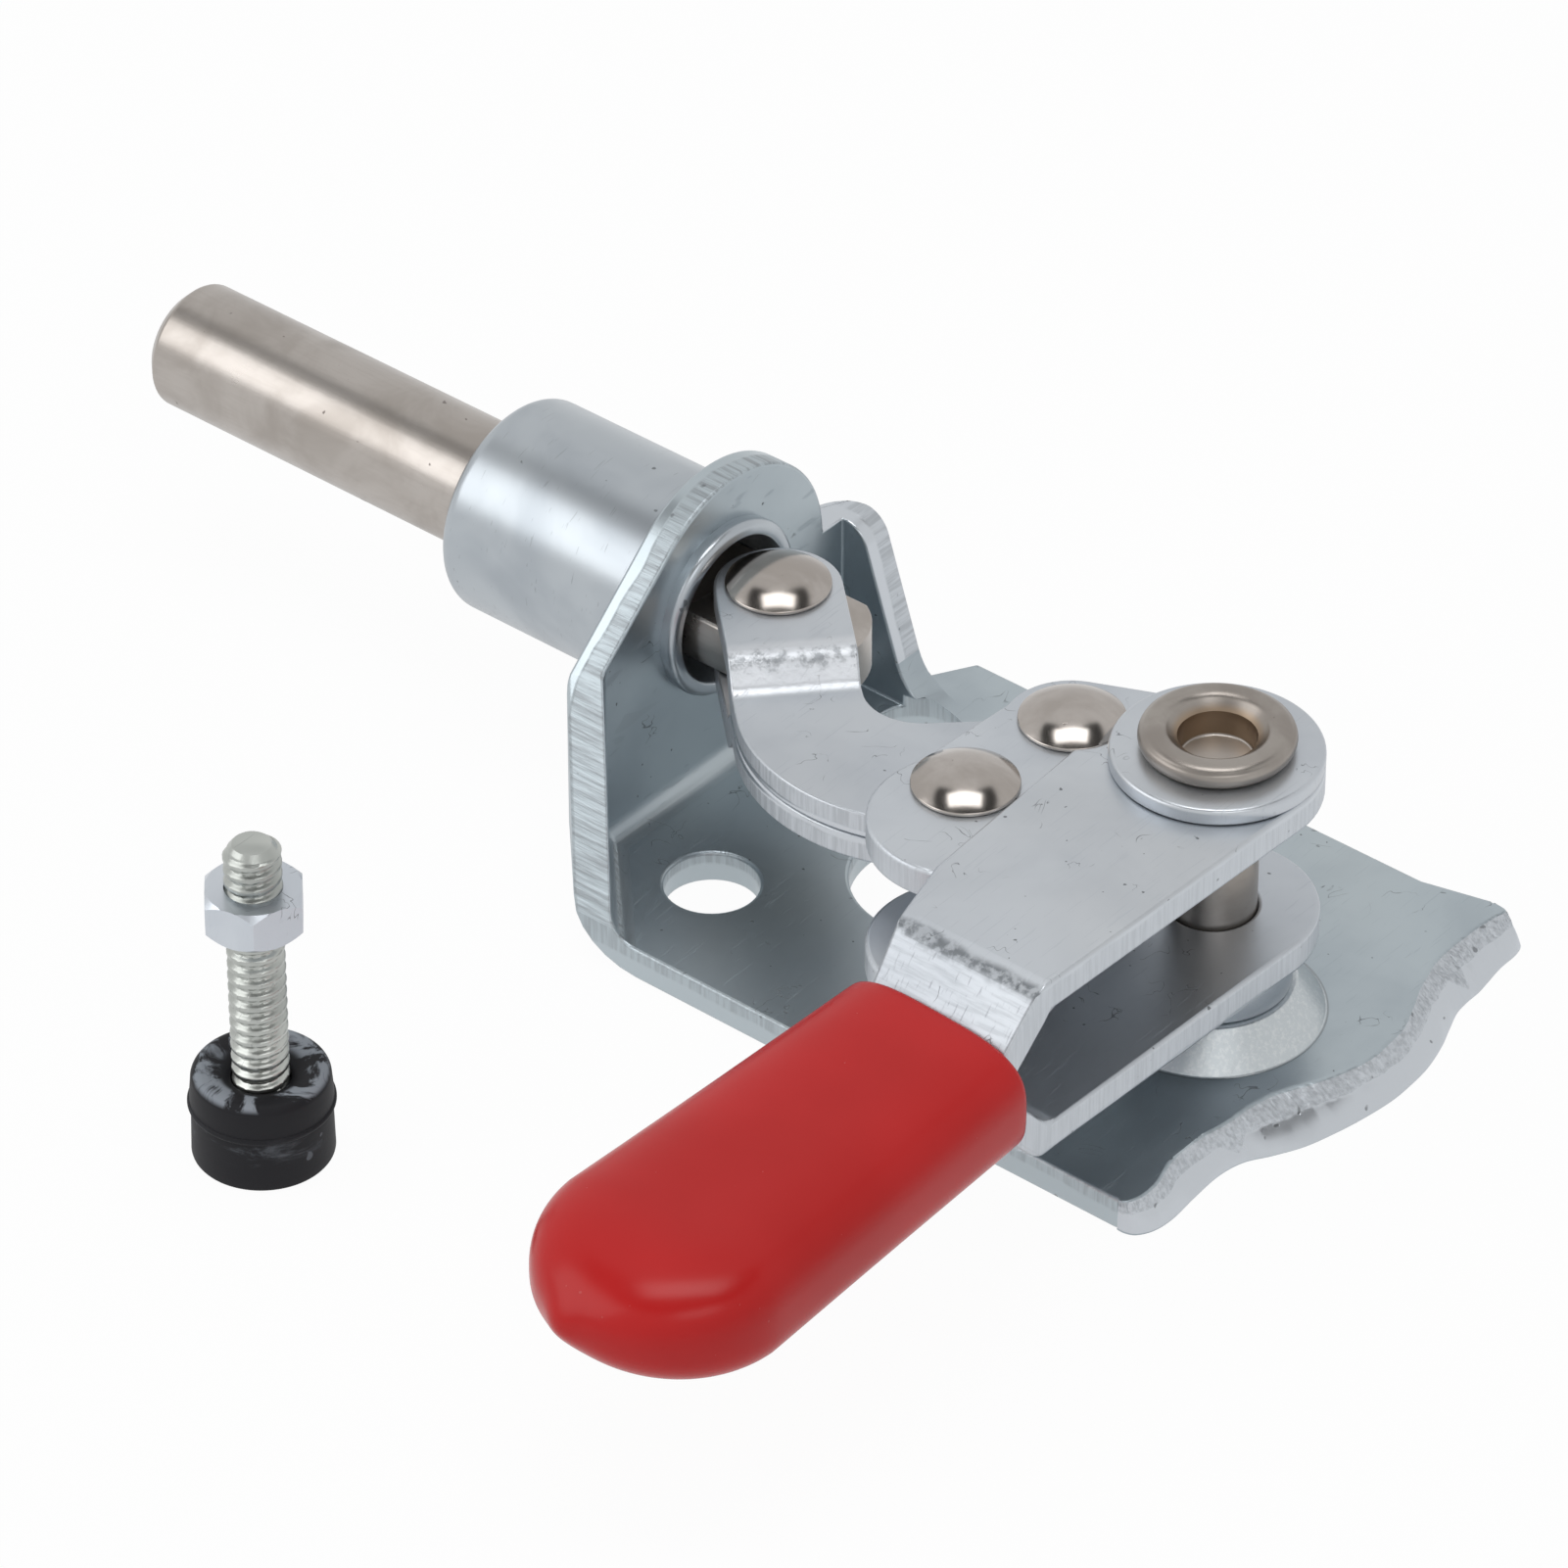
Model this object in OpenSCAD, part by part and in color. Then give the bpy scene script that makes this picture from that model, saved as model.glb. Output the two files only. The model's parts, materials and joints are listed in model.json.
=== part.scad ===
// Push-pull toggle clamp whose handle swings flat above its mounting plate, with its
// pressure spindle unscrewed and stood beside it.
// The origin is on the underside of the base plate, midway between the two mounting holes.
// +X is the way the plunger pushes out, +Y points along the handle at rest, +Z is up.

/* [Base plate] */
// Thickness of the base sheet
base_t = 3.2; // [2.8:0.1:3.6]
// Width of the base plate across the plunger
base_w = 52; // [50:1:60]
// Rear edge beside the bulge, behind the pivot axis
base_rear = 11.9; // [11:0.1:13]
// How far the rounded rear corners stand out from that edge
corner_out = 0.6; // [0:0.1:1.5]
// Radius of the rear corners
corner_r = 2.5; // [1.5:0.5:4]
// How far the far rear corner stands out sideways
spur_out = 1.6; // [0:0.1:2]
// How far the round bulge behind the pivot stands out from the rear edge
bulge_out = 5; // [3:0.1:6]
// Radius of that bulge
bulge_r = 12.5; // [11:0.5:16]
// Radius of the hollows on both sides of the bulge
bulge_fillet = 6; // [3:0.5:7]
// Offset of the bulge across the plate
bulge_y = -4.5; // [-6:0.5:0]
// Inside radius of the bend between plate and front wall
bend_r = 2; // [1.5:0.5:3]
// Radius of the wall's round crown about the plunger axis
crown_r = 12.6; // [12.4:0.1:13]
// Sideways offset of that crown from the plunger axis
crown_y = -1.6; // [-2:0.1:0]
// Height of the kink in the wall's edge on the handle side
kink_z = 21; // [19:0.5:22]
// Distance of that kink from the plunger axis
kink_y = 17; // [16:0.5:18]
// Angle by which the wing below the kink is turned back
wing_angle = 43; // [36:1:44]
// Outside face of the stiffening gusset, measured from the plunger axis
gusset_y = 20; // [19.5:0.1:22]
// Height of the gusset above the floor
gusset_h = 20.6; // [19:0.2:22]
// Diameter of the two mounting holes
hole_d = 8.6; // [6:0.1:9]
// Distance between the two mounting holes
hole_pitch = 28.6; // [27:0.1:31]
// Distance of the mounting holes from the pivot axis
hole_x = 44.3; // [43:0.1:46]
// Diameter of the large opening in the plate
opening_d = 18; // [14:0.2:19]
// Distance of the large opening from the pivot axis
opening_x = 28.8; // [28:0.2:30]

/* [Pivot] */
// Height of the plunger axis above the floor
axis_z = 20.6; // [20.2:0.1:22]
// Diameter of the pivot pin
pin_d = 7.8; // [7:0.1:8.4]
// Radius of the pressed boss where it meets the plate
boss_foot_r = 10.2; // [10:0.1:11]
// Radius of the pressed boss at its flat top
boss_top_r = 7.6; // [7.4:0.1:8.4]
// Height of the boss above the plate
boss_h = 3.4; // [2.8:0.1:3.6]
// Diameter of the spacer between boss and handle
spacer_d = 14.4; // [13:0.1:15]
// Diameter of the washer on top of the handle
washer_d = 18.6; // [17:0.1:20]
// Thickness of that washer
washer_t = 1.5; // [1.2:0.1:1.8]
// Outside diameter of the pin's rolled head
roll_d = 13.7; // [12.4:0.1:14.4]
// Height of the rolled head
roll_h = 2.2; // [1.6:0.1:2.4]
// Diameter of the hole in the pin's upper end
pin_hole_d = 6.7; // [5:0.1:6.8]
// Depth of that hole below the rolled head
pin_hole_deep = 1.3; // [1:0.1:5]

/* [Handle] */
// Thickness of each handle plate
handle_t = 3; // [2.6:0.1:3.2]
// Clear gap between the two handle plates
handle_gap = 12.2; // [11.8:0.1:12.8]
// Radius of the handle plates round the pivot
handle_end_r = 9.3; // [9:0.1:10.4]
// Half of the handle's width where it bends towards the grip
handle_half = 7.7; // [7.2:0.1:8.2]
// Sideways offset of the handle behind its bends
tail_dx = -0.5; // [-1:0.1:0.5]
// Distance from the pivot to the bends
bend_y = 32.7; // [32:0.1:35]
// Angle of the sloping part of each plate
bend_angle = 48; // [42:1:54]
// Distance from the pivot to the end of the plates inside the grip
handle_end_y = 80.5; // [76:0.5:82]
// Depth of the pressed step beside the rivets
lobe_step = 0.8; // [0.8:0.1:1.4]
// Radius of the lobe at the stop rivet's end
lobe_r = 8.7; // [8:0.1:9.4]
// Radius of the lobe at the link rivet's end
lobe_tip_r = 6; // [5.4:0.1:6.8]

/* [Grip] */
// Width of the vinyl grip at its mouth
mouth_w = 20; // [18:0.2:22]
// Width of the vinyl grip at its round end
grip_w = 23; // [20.6:0.2:25]
// Thickness of the vinyl grip
grip_t = 11; // [10:0.1:12]
// Start of the grip, from the pivot
grip_y0 = 38; // [37.6:0.2:40]
// End of the grip, from the pivot
grip_y1 = 84; // [83:0.2:88]
// Rounding of the grip's long edges
grip_round = 4.5; // [3:0.1:4.8]

/* [Linkage] */
// Distance from the main pivot to the link rivet
crank_r = 13.9; // [13.6:0.1:14.6]
// Angle of the link rivet about the main pivot at rest
crank_angle = 10.5; // [8:0.5:12]
// Length of the link between its two rivets
link_len = 35; // [34.4:0.1:35.6]
// Swing of the handle from clamped to open
swing = 145; // [120:1:146]
// Thickness of each link plate
link_t = 2.5; // [2.2:0.1:2.8]
// Width of the link's arm at the plunger
arm_w = 11.4; // [11:0.1:12]
// Heading of that arm, seen from the plunger rivet
arm_angle = 137; // [134:1:140]
// Radius of the link's outer curve
hook_r = 18; // [17:0.1:18.4]
// How far the outer curve's centre lies short of the handle rivet, along the arm
hook_back = 12.2; // [11.6:0.1:12.8]
// Radius of the hollow on the link's inner side
throat_r = 5.2; // [4.8:0.1:5.6]
// How far that hollow lies short of the handle rivet, along the arm
throat_back = 14.1; // [13.4:0.1:14.6]
// Radius of the link round its handle rivet
link_end_r = 7.2; // [6.4:0.1:7.6]
// Distance along the arm where the fork starts to open
fork_start = 11.3; // [11.1:0.1:12]
// Distance along the arm where the fork is fully open
fork_open = 9; // [8.8:0.1:9.4]
// Side clearance between fork and plunger tongue
fork_gap = 0.1; // [0.06:0.01:0.2]

/* [Rivets] */
// Diameter of the domed rivet heads
head_d = 9.5; // [9:0.1:10]
// Height of the domed rivet heads
head_h = 2; // [1.6:0.1:2.2]
// Diameter of the rivet shanks
shank_d = 6; // [5:0.1:6.4]
// Stop rivet's place ahead of the link rivet
stop_dx = 1.3; // [1:0.1:1.6]
// Stop rivet's place beside the link rivet
stop_dy = 12.95; // [12.6:0.05:13.4]
// Diameter of the spacer rings on the link rivet
ring_d = 11; // [9:0.2:12]

/* [Plunger] */
// Diameter of the plunger
plunger_d = 12; // [11.8:0.1:12.4]
// How far the plunger stands out of the bushing when clamped
plunger_out = 39.5; // [32:0.5:45]
// Rear end of the plunger behind the rivet
tongue_back = 8.8; // [8.4:0.1:9.2]
// Length of the flats ahead of the rivet
tongue_ahead = 11; // [10.6:0.1:12]
// Thickness of the tongue
tongue_t = 4.8; // [4.4:0.1:5]
// Core diameter of the thread for the spindle
tap_d = 4.2; // [4.1:0.1:4.4]
// Depth of that threaded hole
tap_deep = 20; // [16:0.5:24]

/* [Guide bushing] */
// Outside diameter of the guide bushing
bushing_d = 20.4; // [19:0.1:21]
// Length of the guide bushing ahead of the wall
bushing_len = 21.5; // [18:0.5:26]
// Diameter of the bushing where it passes through the wall
neck_d = 15.2; // [15:0.2:17]
// Outside diameter of the lip swaged over inside the wall
lip_d = 17; // [16.6:0.2:18.4]
// How far the lip stands out from the wall
lip_h = 1.5; // [1.2:0.1:1.8]
// Diameter of the flared mouth in the lip
mouth_d = 14.1; // [13.6:0.1:14.6]

/* [Pressure spindle] */
// Place of the loose spindle ahead of the pivot
spindle_x = 52.6; // [50:0.5:60]
// Place of the loose spindle beside the pivot
spindle_y = 64; // [60:0.5:72]
// Thread diameter of the spindle
stud_d = 5; // [4.9:0.1:5.2]
// Top of the stud above the floor
stud_top = 32.7; // [31:0.5:40]
// Diameter of the rubber foot
foot_d = 12.8; // [12:0.1:14]
// Height of the rubber foot
foot_h = 8.8; // [8:0.1:10]
// Width of the nut across its flats
nut_s = 8.2; // [8:0.1:8.8]
// Height of the nut
nut_h = 3.9; // [3.2:0.1:4.4]
// Underside of the nut above the floor
nut_z = 24.3; // [14:0.2:27]

/* [Clearances] */
// Radial play of every bearing
play = 0.05; // [0.03:0.01:0.08]
// Play between faces that slide on each other
face_play = 0.08; // [0.05:0.01:0.15]
// Gap between curved faces that only pass each other
pass_gap = 0.3; // [0.25:0.05:0.5]

/* [Hidden] */
$fn = 96;

// Rivets of the linkage at rest: crank pin, plunger pin and stop
pin_r = pin_d / 2;
shank_r = shank_d / 2;
crank = crank_r * [cos(crank_angle), sin(crank_angle)];
tip = [crank.x + sqrt(pow(link_len, 2) - pow(crank.y, 2)), 0];
stop = crank + [stop_dx, stop_dy];

// The main pivot as the link sees it when the handle is fully open
open_angle = crank_angle + swing;
link_turn = asin(crank_r * sin(open_angle) / link_len) - asin(crank.y / link_len);
pin_open = crank - crank_r * [cos(open_angle + link_turn), sin(open_angle + link_turn)];

// Heights of the plates
upper_z = axis_z + handle_gap / 2;
lower_z = axis_z - handle_gap / 2 - handle_t;
handle_top = upper_z + handle_t;
lobe_top = handle_top - lobe_step;
lobe_floor = lower_z + lobe_step;
fork_lift = tongue_t / 2 + fork_gap;
boss_top = base_t + boss_h;
washer_z = handle_top + face_play;
roll_z = washer_z + washer_t;

// Front wall, its bend and the wing that turns back below the kink; the wall clears the plunger rivet
wall_x = tip.x + head_d / 2 + pass_gap + lip_h;
wall_out = wall_x + base_t;
bend_out = bend_r + base_t;
half_w = base_w / 2;
wing_y = kink_y + 0.3;
far = 200;

// Front ends of bushing and plunger, and the spindle's stud inside its foot
bushing_x1 = wall_out + bushing_len;
plunger_x1 = bushing_x1 + plunger_out;
stud_in = 0.68 * foot_h;

// Unit vector along the link's arm and the normal to it, towards the outer curve
arm = [cos(arm_angle), sin(arm_angle)];
side = [sin(arm_angle), -cos(arm_angle)];
arm_run = (crank - tip) * arm;
hook_along = arm_run - hook_back;
throat_along = arm_run - throat_back;
hook_c = tip + hook_along * arm + (arm_w / 2 - hook_r) * side;
throat_c = tip + throat_along * arm - (arm_w / 2 + throat_r) * side;

// Where the link's inner edge touches the eye, the open pivot and the hollow of the hook
pass_r = pin_r + pass_gap;
under = atan2(pin_open.y - crank.y, pin_open.x - crank.x) + asin((link_end_r + pass_r) / crank_r);
eye_touch = crank + link_end_r * [sin(under), -cos(under)];
pass_touch = pin_open + pass_r * [-sin(under), cos(under)];
to_throat = throat_c - pass_touch;
rise = atan2(to_throat.y, to_throat.x) + asin(throat_r / norm(to_throat));
throat_touch = throat_c + throat_r * [-sin(rise), cos(rise)];

// Puts what is drawn about the main pivot into the part's own frame
module from_pivot() {
    translate([-hole_x, 0, 0]) children();
}

// Points of an arc about c, from angle a0 to a1, in n steps
function arc(c, r, a0, a1, n) =
    [for (i = [0:n]) let (a = a0 + (a1 - a0) * i / n) c + r * [cos(a), sin(a)]];

// A flat extruded along X, drawn in Y and Z
module along_x(x0, x1) {
    translate([x0, 0, 0]) rotate([90, 0, 90]) linear_extrude(x1 - x0) children();
}

// A flat extruded along Y, drawn in X and Z
module along_y(y0, y1) {
    translate([0, y1, 0]) rotate([90, 0, 0]) linear_extrude(y1 - y0) children();
}

// A flat extruded along Z
module along_z(z0, z1) {
    translate([0, 0, z0]) linear_extrude(z1 - z0) children();
}

// A round bar along X on the plunger axis
module bar(x0, x1, d) {
    translate([x0, 0, axis_z]) rotate([0, 90, 0]) cylinder(h = x1 - x0, d = d);
}

// A ring or tube standing on z0
module tube(p, z0, z1, d, bore) {
    translate([p.x, p.y, z0]) difference() {
        cylinder(h = z1 - z0, d = d);
        translate([0, 0, -1]) cylinder(h = z1 - z0 + 2, d = bore);
    }
}

// Domed rivet head with its flat side at z0, standing up or hanging down
module dome(p, z0, up = 1) {
    rim = 0.4;
    cap = head_h - rim;
    r = (pow(head_d / 2, 2) + pow(cap, 2)) / (2 * cap);
    translate([p.x, p.y, z0]) mirror([0, 0, up > 0 ? 0 : 1]) {
        cylinder(h = rim, d = head_d);
        translate([0, 0, rim]) intersection() {
            cylinder(h = cap, d = head_d);
            translate([0, 0, cap - r]) sphere(r);
        }
    }
}

// Plan of the base sheet: gusset's notch, far edge, rear edge with its bulge, handle side
module plate_plan() {
    corner_x = -base_rear - corner_out;
    corner_y = half_w - corner_r;
    lobe_y = half_w - 8;
    bulge_c = [-base_rear - bulge_out + bulge_r, bulge_y];
    hollow_x = -base_rear - bulge_fillet;
    b = acos((bulge_c.x - hollow_x) / (bulge_r + bulge_fillet));
    hollow_dy = (bulge_r + bulge_fillet) * sin(b);
    polygon(concat([[wall_out + 1, -gusset_y], [wall_out - 6.5, -gusset_y],
                    [wall_out - 9, -gusset_y - 1], [wall_out - 11.7, -half_w],
                    [corner_x + 4 * spur_out + corner_r, -half_w]],
                   arc([corner_x + corner_r, -corner_y - spur_out], corner_r, -90, -180, 8),
                   [[corner_x, 1 - corner_y], [-base_rear, -lobe_y]],
                   arc([hollow_x, bulge_y - hollow_dy], bulge_fillet, 0, b, 8),
                   arc(bulge_c, bulge_r, 180 + b, 180 - b, 24),
                   arc([hollow_x, bulge_y + hollow_dy], bulge_fillet, -b, 0, 8),
                   [[-base_rear, lobe_y], [corner_x, corner_y - 1]],
                   arc([corner_x + corner_r, corner_y], corner_r, 180, 90, 8),
                   [[wall_out + 1, half_w]]));
}

// Outline of floor and front wall, seen along the plunger
module wall_outline() {
    drop = kink_z - axis_z;
    a = atan2(drop, kink_y - crown_y) + acos(crown_r / norm([kink_y - crown_y, drop]));
    floor_y = half_w + spur_out;
    polygon(concat([[-floor_y, -1], [half_w, -1], [half_w, base_t + 1], [kink_y, kink_z]],
                   arc([crown_y, axis_z], crown_r, a, 180, 36),
                   [[-gusset_y, gusset_h], [-gusset_y, base_t], [-floor_y, base_t]]));
}

// Space behind a bent sheet's upright face at x = 0 and above its floor, rounded by r
module behind(floor_z, r) {
    polygon(concat([[-2 * far, floor_z]], arc([-r, floor_z + r], r, -90, 0, 6),
                   [[0, far], [-2 * far, far]]));
}

// Space behind wall and wing, above the floor: drawn with and without the sheet's thickness
module front_space(skin, r) {
    intersection() {
        translate([wall_out - skin, 0, 0]) along_y(-far, far) behind(skin, r);
        translate([wall_out, wing_y, 0]) rotate([0, 0, wing_angle]) translate([-skin, 0, 0])
            along_y(-far, far) behind(skin, r);
    }
}

// Side view of the stiffening gusset: round top, then an S down to the plate
module gusset_side() {
    lean = 18;
    top_r = 3;
    foot_r = 6;
    top_c = [wall_out - 3.2, gusset_h - top_r];
    top_end = top_c + top_r * [-cos(lean), sin(lean)];
    foot_z = base_t + foot_r * (1 - sin(lean));
    foot_x = top_end.x - (top_end.y - foot_z) * tan(lean);
    foot_c = [foot_x - foot_r * cos(lean), base_t + foot_r];
    polygon(concat([[wall_out, base_t / 2], [wall_out, gusset_h]], arc(top_c, top_r, 90, 180 - lean, 8),
                   arc(foot_c, foot_r, -lean, -90, 10), [[foot_c.x, base_t / 2]]));
}

module base_plate() color("lightsteelblue") from_pivot() difference() {
    intersection() {
        front_space(0, bend_out);
        union() {
            difference() {
                intersection() {
                    along_z(-1, far) plate_plan();
                    along_x(-far, far) wall_outline();
                }
                front_space(base_t, bend_r);
            }
            along_y(-gusset_y, -gusset_y + base_t) gusset_side();
            translate([0, 0, base_t]) cylinder(h = boss_h, r1 = boss_foot_r, r2 = boss_top_r);
        }
    }
    // Hollow under the pressed boss
    translate([0, 0, -1]) cylinder(h = 1 + boss_h, r1 = boss_top_r + 1, r2 = boss_top_r - 1.2);
    translate([0, 0, -1]) cylinder(h = far, r = pin_r + play);
    bar(wall_x - 1, wall_out + 1, neck_d + 2 * play);
    translate([opening_x, 0, -1]) cylinder(h = base_t + 2, d = opening_d);
    for (u = [-1, 1]) translate([hole_x, u * hole_pitch / 2, -1]) cylinder(h = base_t + 2, d = hole_d);
    // Outside corner of wall and gusset
    round_r = 4;
    translate([wall_out - round_r, -gusset_y + round_r, 0]) difference() {
        translate([0, -round_r - 1, -1]) cube([round_r + 1, round_r + 1, far]);
        translate([0, 0, -2]) cylinder(h = far + 2, r = round_r);
    }
}

module guide_bushing() color("silver") from_pivot() difference() {
    edge = 1.5;
    union() {
        bar(wall_out, bushing_x1 - edge, bushing_d);
        translate([bushing_x1 - edge, 0, axis_z]) rotate([0, 90, 0]) {
            cylinder(h = edge, d = bushing_d - 2 * edge);
            rotate_extrude() translate([bushing_d / 2 - edge, 0]) intersection() {
                circle(edge);
                square(edge);
            }
        }
        bar(wall_x - 0.2, wall_out, neck_d);
        translate([wall_x, 0, axis_z]) rotate([0, -90, 0])
            cylinder(h = lip_h, d1 = lip_d, d2 = lip_d - 1.2);
    }
    bar(wall_x - lip_h - 1, bushing_x1 + 1, plunger_d + 2 * play);
    // Flared mouth in the swaged lip
    translate([wall_x - lip_h - 0.1, 0, axis_z]) rotate([0, 90, 0])
        cylinder(h = 2, d1 = mouth_d, d2 = plunger_d + 2 * play);
}

module plunger() color("tan") from_pivot() difference() {
    chamfer = 1.2;
    union() {
        bar(tip.x - tongue_back, plunger_x1 - chamfer, plunger_d);
        translate([plunger_x1 - chamfer, 0, axis_z]) rotate([0, 90, 0])
            cylinder(h = chamfer, d1 = plunger_d, d2 = plunger_d - 2 * chamfer);
    }
    // Flats above and below the tongue
    for (z = [axis_z + tongue_t / 2, axis_z - tongue_t / 2 - plunger_d])
        translate([tip.x - tongue_back - 1, -plunger_d, z])
            cube([tongue_back + 1 + tongue_ahead, 2 * plunger_d, plunger_d]);
    translate([tip.x, tip.y, 0]) cylinder(h = far, d = shank_d + 2 * play, center = true);
    // Rounded rear end of the tongue
    round_r = 0.53 * plunger_d;
    translate([tip.x - tongue_back + round_r, 0, axis_z - plunger_d]) difference() {
        translate([-round_r - 1, -plunger_d, 0]) cube([round_r + 1, 2 * plunger_d, 2 * plunger_d]);
        translate([0, 0, -1]) cylinder(h = 2 * plunger_d + 2, r = round_r);
    }
    bar(plunger_x1 - tap_deep, plunger_x1 + 1, tap_d);
}

// Where the slope of a handle plate starts and ends, on its inner face and on its outer face
slope_run = handle_gap / 2 / tan(bend_angle);
slope_shift = handle_t * tan(bend_angle / 2);
tail_round = 6;

// Side view of the upper handle plate, about the plunger axis
module handle_side() {
    polygon([[-far, handle_gap / 2], [bend_y, handle_gap / 2], [bend_y + slope_run, 0], [far, 0],
             [far, handle_t], [bend_y + slope_run + slope_shift, handle_t],
             [bend_y + slope_shift, handle_gap / 2 + handle_t], [-far, handle_gap / 2 + handle_t]]);
}

// Plan of the tail inside the grip, wider by the gap all round
module tail_plan(gap = 0) {
    w = handle_half - 0.7 + gap;
    translate([tail_dx, 0]) polygon([[-w, bend_y], [w, bend_y], [w, handle_end_y - tail_round],
             [w - tail_round, handle_end_y + gap], [-w + tail_round, handle_end_y + gap],
             [-w, handle_end_y - tail_round]]);
}

// Plan of a handle plate without its stepped lobe
module handle_plan() {
    step_x = crank.x - 2.8;
    union() {
        circle(handle_end_r);
        polygon([[-handle_end_r, 0], [step_x, 0], [step_x - 1.7, stop.y + 11.1],
                 [tail_dx + handle_half, bend_y + 1], [tail_dx + handle_half - 0.7, bend_y + 8],
                 [tail_dx - handle_half + 0.7, bend_y + 8], [tail_dx - handle_half, bend_y + 1]]);
        tail_plan();
    }
}

// Plan of the stepped lobe that carries the two rivets, with its web to the pivot
module lobe_plan() {
    low = stop + [-2.8, 3.1];
    gap = low - crank;
    slant = atan2(gap.y, gap.x);
    lean = acos((lobe_r - lobe_tip_r) / norm(gap));
    web = crank_angle - acos((handle_end_r - lobe_tip_r) / crank_r);
    out = slant - lean;
    difference() {
        union() {
            translate(low) circle(lobe_r);
            translate(crank) circle(lobe_tip_r);
            polygon([low, low + lobe_r * [cos(out), sin(out)], crank + lobe_tip_r * [cos(out), sin(out)],
                     crank, [0, 0]]);
            polygon([[0, 0], handle_end_r * [cos(web), sin(web)],
                     crank + lobe_tip_r * [cos(web), sin(web)], crank]);
        }
        translate([-far, 0]) square([far, 2 * far]);
        circle(handle_end_r - 1.5);
    }
}

// One handle plate above the plunger axis
module handle_plate() {
    difference() {
        union() {
            intersection() {
                translate([0, 0, axis_z]) along_x(-far, far) handle_side();
                along_z(axis_z, handle_top + 1) handle_plan();
            }
            along_z(lobe_top - handle_t, lobe_top) lobe_plan();
        }
        cylinder(h = far, r = pin_r + play);
        for (p = [crank, stop]) translate([p.x, p.y, 0]) cylinder(h = far, d = shank_d);
        // Room in the step for the link rivet's head
        translate([crank.x, crank.y, lobe_top]) cylinder(h = far, d = head_d + 2 * pass_gap);
    }
}

// The same turned over to lie below the plunger axis
module below_axis() {
    translate([0, 0, 2 * axis_z]) mirror([0, 0, 1]) children();
}

module handle_upper_plate() color("lightgray") from_pivot() handle_plate();

module handle_lower_plate() color("lightgray") from_pivot() below_axis() handle_plate();

module handle_grip() color("firebrick") from_pivot() difference() {
    end_r = grip_w / 2;
    core = grip_t / 2 - grip_round;
    skin = 0.02;
    slope_end = bend_y + slope_run + slope_shift;
    mouth_z = handle_t + (slope_end - grip_y0 + 1) * tan(bend_angle) + skin;
    hull() {
        translate([tail_dx, grip_y1 - end_r, axis_z]) rotate_extrude($fn = 48) {
            for (u = [-1, 1]) translate([end_r - grip_round, u * core]) circle(grip_round, $fn = 32);
            translate([0, -grip_t / 2]) square([end_r - grip_round, grip_t]);
        }
        for (v = [-1, 1], u = [-1, 1])
            translate([tail_dx + v * (mouth_w / 2 - grip_round), grip_y0, axis_z + u * core])
                rotate([-90, 0, 0]) cylinder(h = 1, r = grip_round, $fn = 32);
    }
    // Pocket for the two plates
    translate([0, 0, axis_z]) intersection() {
        along_x(-far, far)
            polygon([[grip_y0 - 1, mouth_z], [slope_end, handle_t + skin], [far, handle_t + skin],
                     [far, -handle_t - skin], [slope_end, -handle_t - skin], [grip_y0 - 1, -mouth_z]]);
        along_z(-grip_t, grip_t) tail_plan(1);
    }
}

// Plan of a link plate: round end on the plunger, arm, hook, seat of the stop, eye on the crank
module link_plan() {
    w = arm_w / 2;
    stop_pass = shank_r + pass_gap;
    hook_end = acos((stop.x + stop_pass - hook_c.x) / hook_r);
    to_seat = stop - [0, stop_pass] - crank;
    eye_start = atan2(to_seat.y, to_seat.x) + acos(link_end_r / norm(to_seat));
    polygon(concat(arc(tip, w, arm_angle + 90, arm_angle + 270, 24),
                   arc(hook_c, hook_r, arm_angle - 90, hook_end, 24),
                   arc(stop, stop_pass, 0, -90, 8),
                   arc(crank, link_end_r, eye_start, under + 270, 24),
                   [pass_touch],
                   arc(throat_c, throat_r, rise + 90, arm_angle - 90, 12)));
}

// Side view of a link plate along its arm, from the plunger rivet
module link_side() {
    slope = fork_start - fork_open;
    shift = link_t * tan(atan2(fork_lift, slope) / 2);
    polygon([[-far, fork_lift], [fork_open, fork_lift], [fork_start, 0], [far, 0], [far, link_t],
             [fork_start + shift, link_t], [fork_open + shift, fork_lift + link_t],
             [-far, fork_lift + link_t]]);
}

// One link plate above the plunger axis
module link_plate() {
    difference() {
        intersection() {
            along_z(axis_z, axis_z + 2 * link_t + fork_lift) link_plan();
            translate([tip.x, tip.y, axis_z + face_play / 2]) rotate([0, 0, arm_angle])
                along_y(-far / 2, far / 2) link_side();
        }
        translate([crank.x, crank.y, 0]) cylinder(h = far, d = shank_d + 2 * play);
        translate([tip.x, tip.y, 0]) cylinder(h = far, d = shank_d);
    }
}

module link_upper_plate() color("gainsboro") from_pivot() link_plate();

module link_lower_plate() color("gainsboro") from_pivot() below_axis() link_plate();

// Half of the plunger rivet, held by the fork plate above the tongue
module plunger_rivet() {
    seat = axis_z + face_play / 2 + fork_lift;
    translate([tip.x, tip.y, seat]) cylinder(h = link_t, r = shank_r - play / 2);
    dome(tip, seat + link_t);
}

module plunger_rivet_upper() color("rosybrown") from_pivot() plunger_rivet();

module plunger_rivet_lower() color("rosybrown") from_pivot() below_axis() plunger_rivet();

// Rivet through both handle lobes
module lobe_rivet(p) {
    translate([p.x, p.y, lobe_floor]) cylinder(h = lobe_top - lobe_floor, r = shank_r - play / 2);
    dome(p, lobe_top);
    dome(p, lobe_floor, -1);
}

module link_rivet() color("rosybrown") from_pivot() lobe_rivet(crank);

module stop_rivet() color("rosybrown") from_pivot() lobe_rivet(stop);

module link_spacer() {
    tube(crank, axis_z + link_t + face_play, lobe_top - handle_t, ring_d, shank_d + 2 * play);
}

module link_spacer_upper() color("silver") from_pivot() link_spacer();

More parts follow.
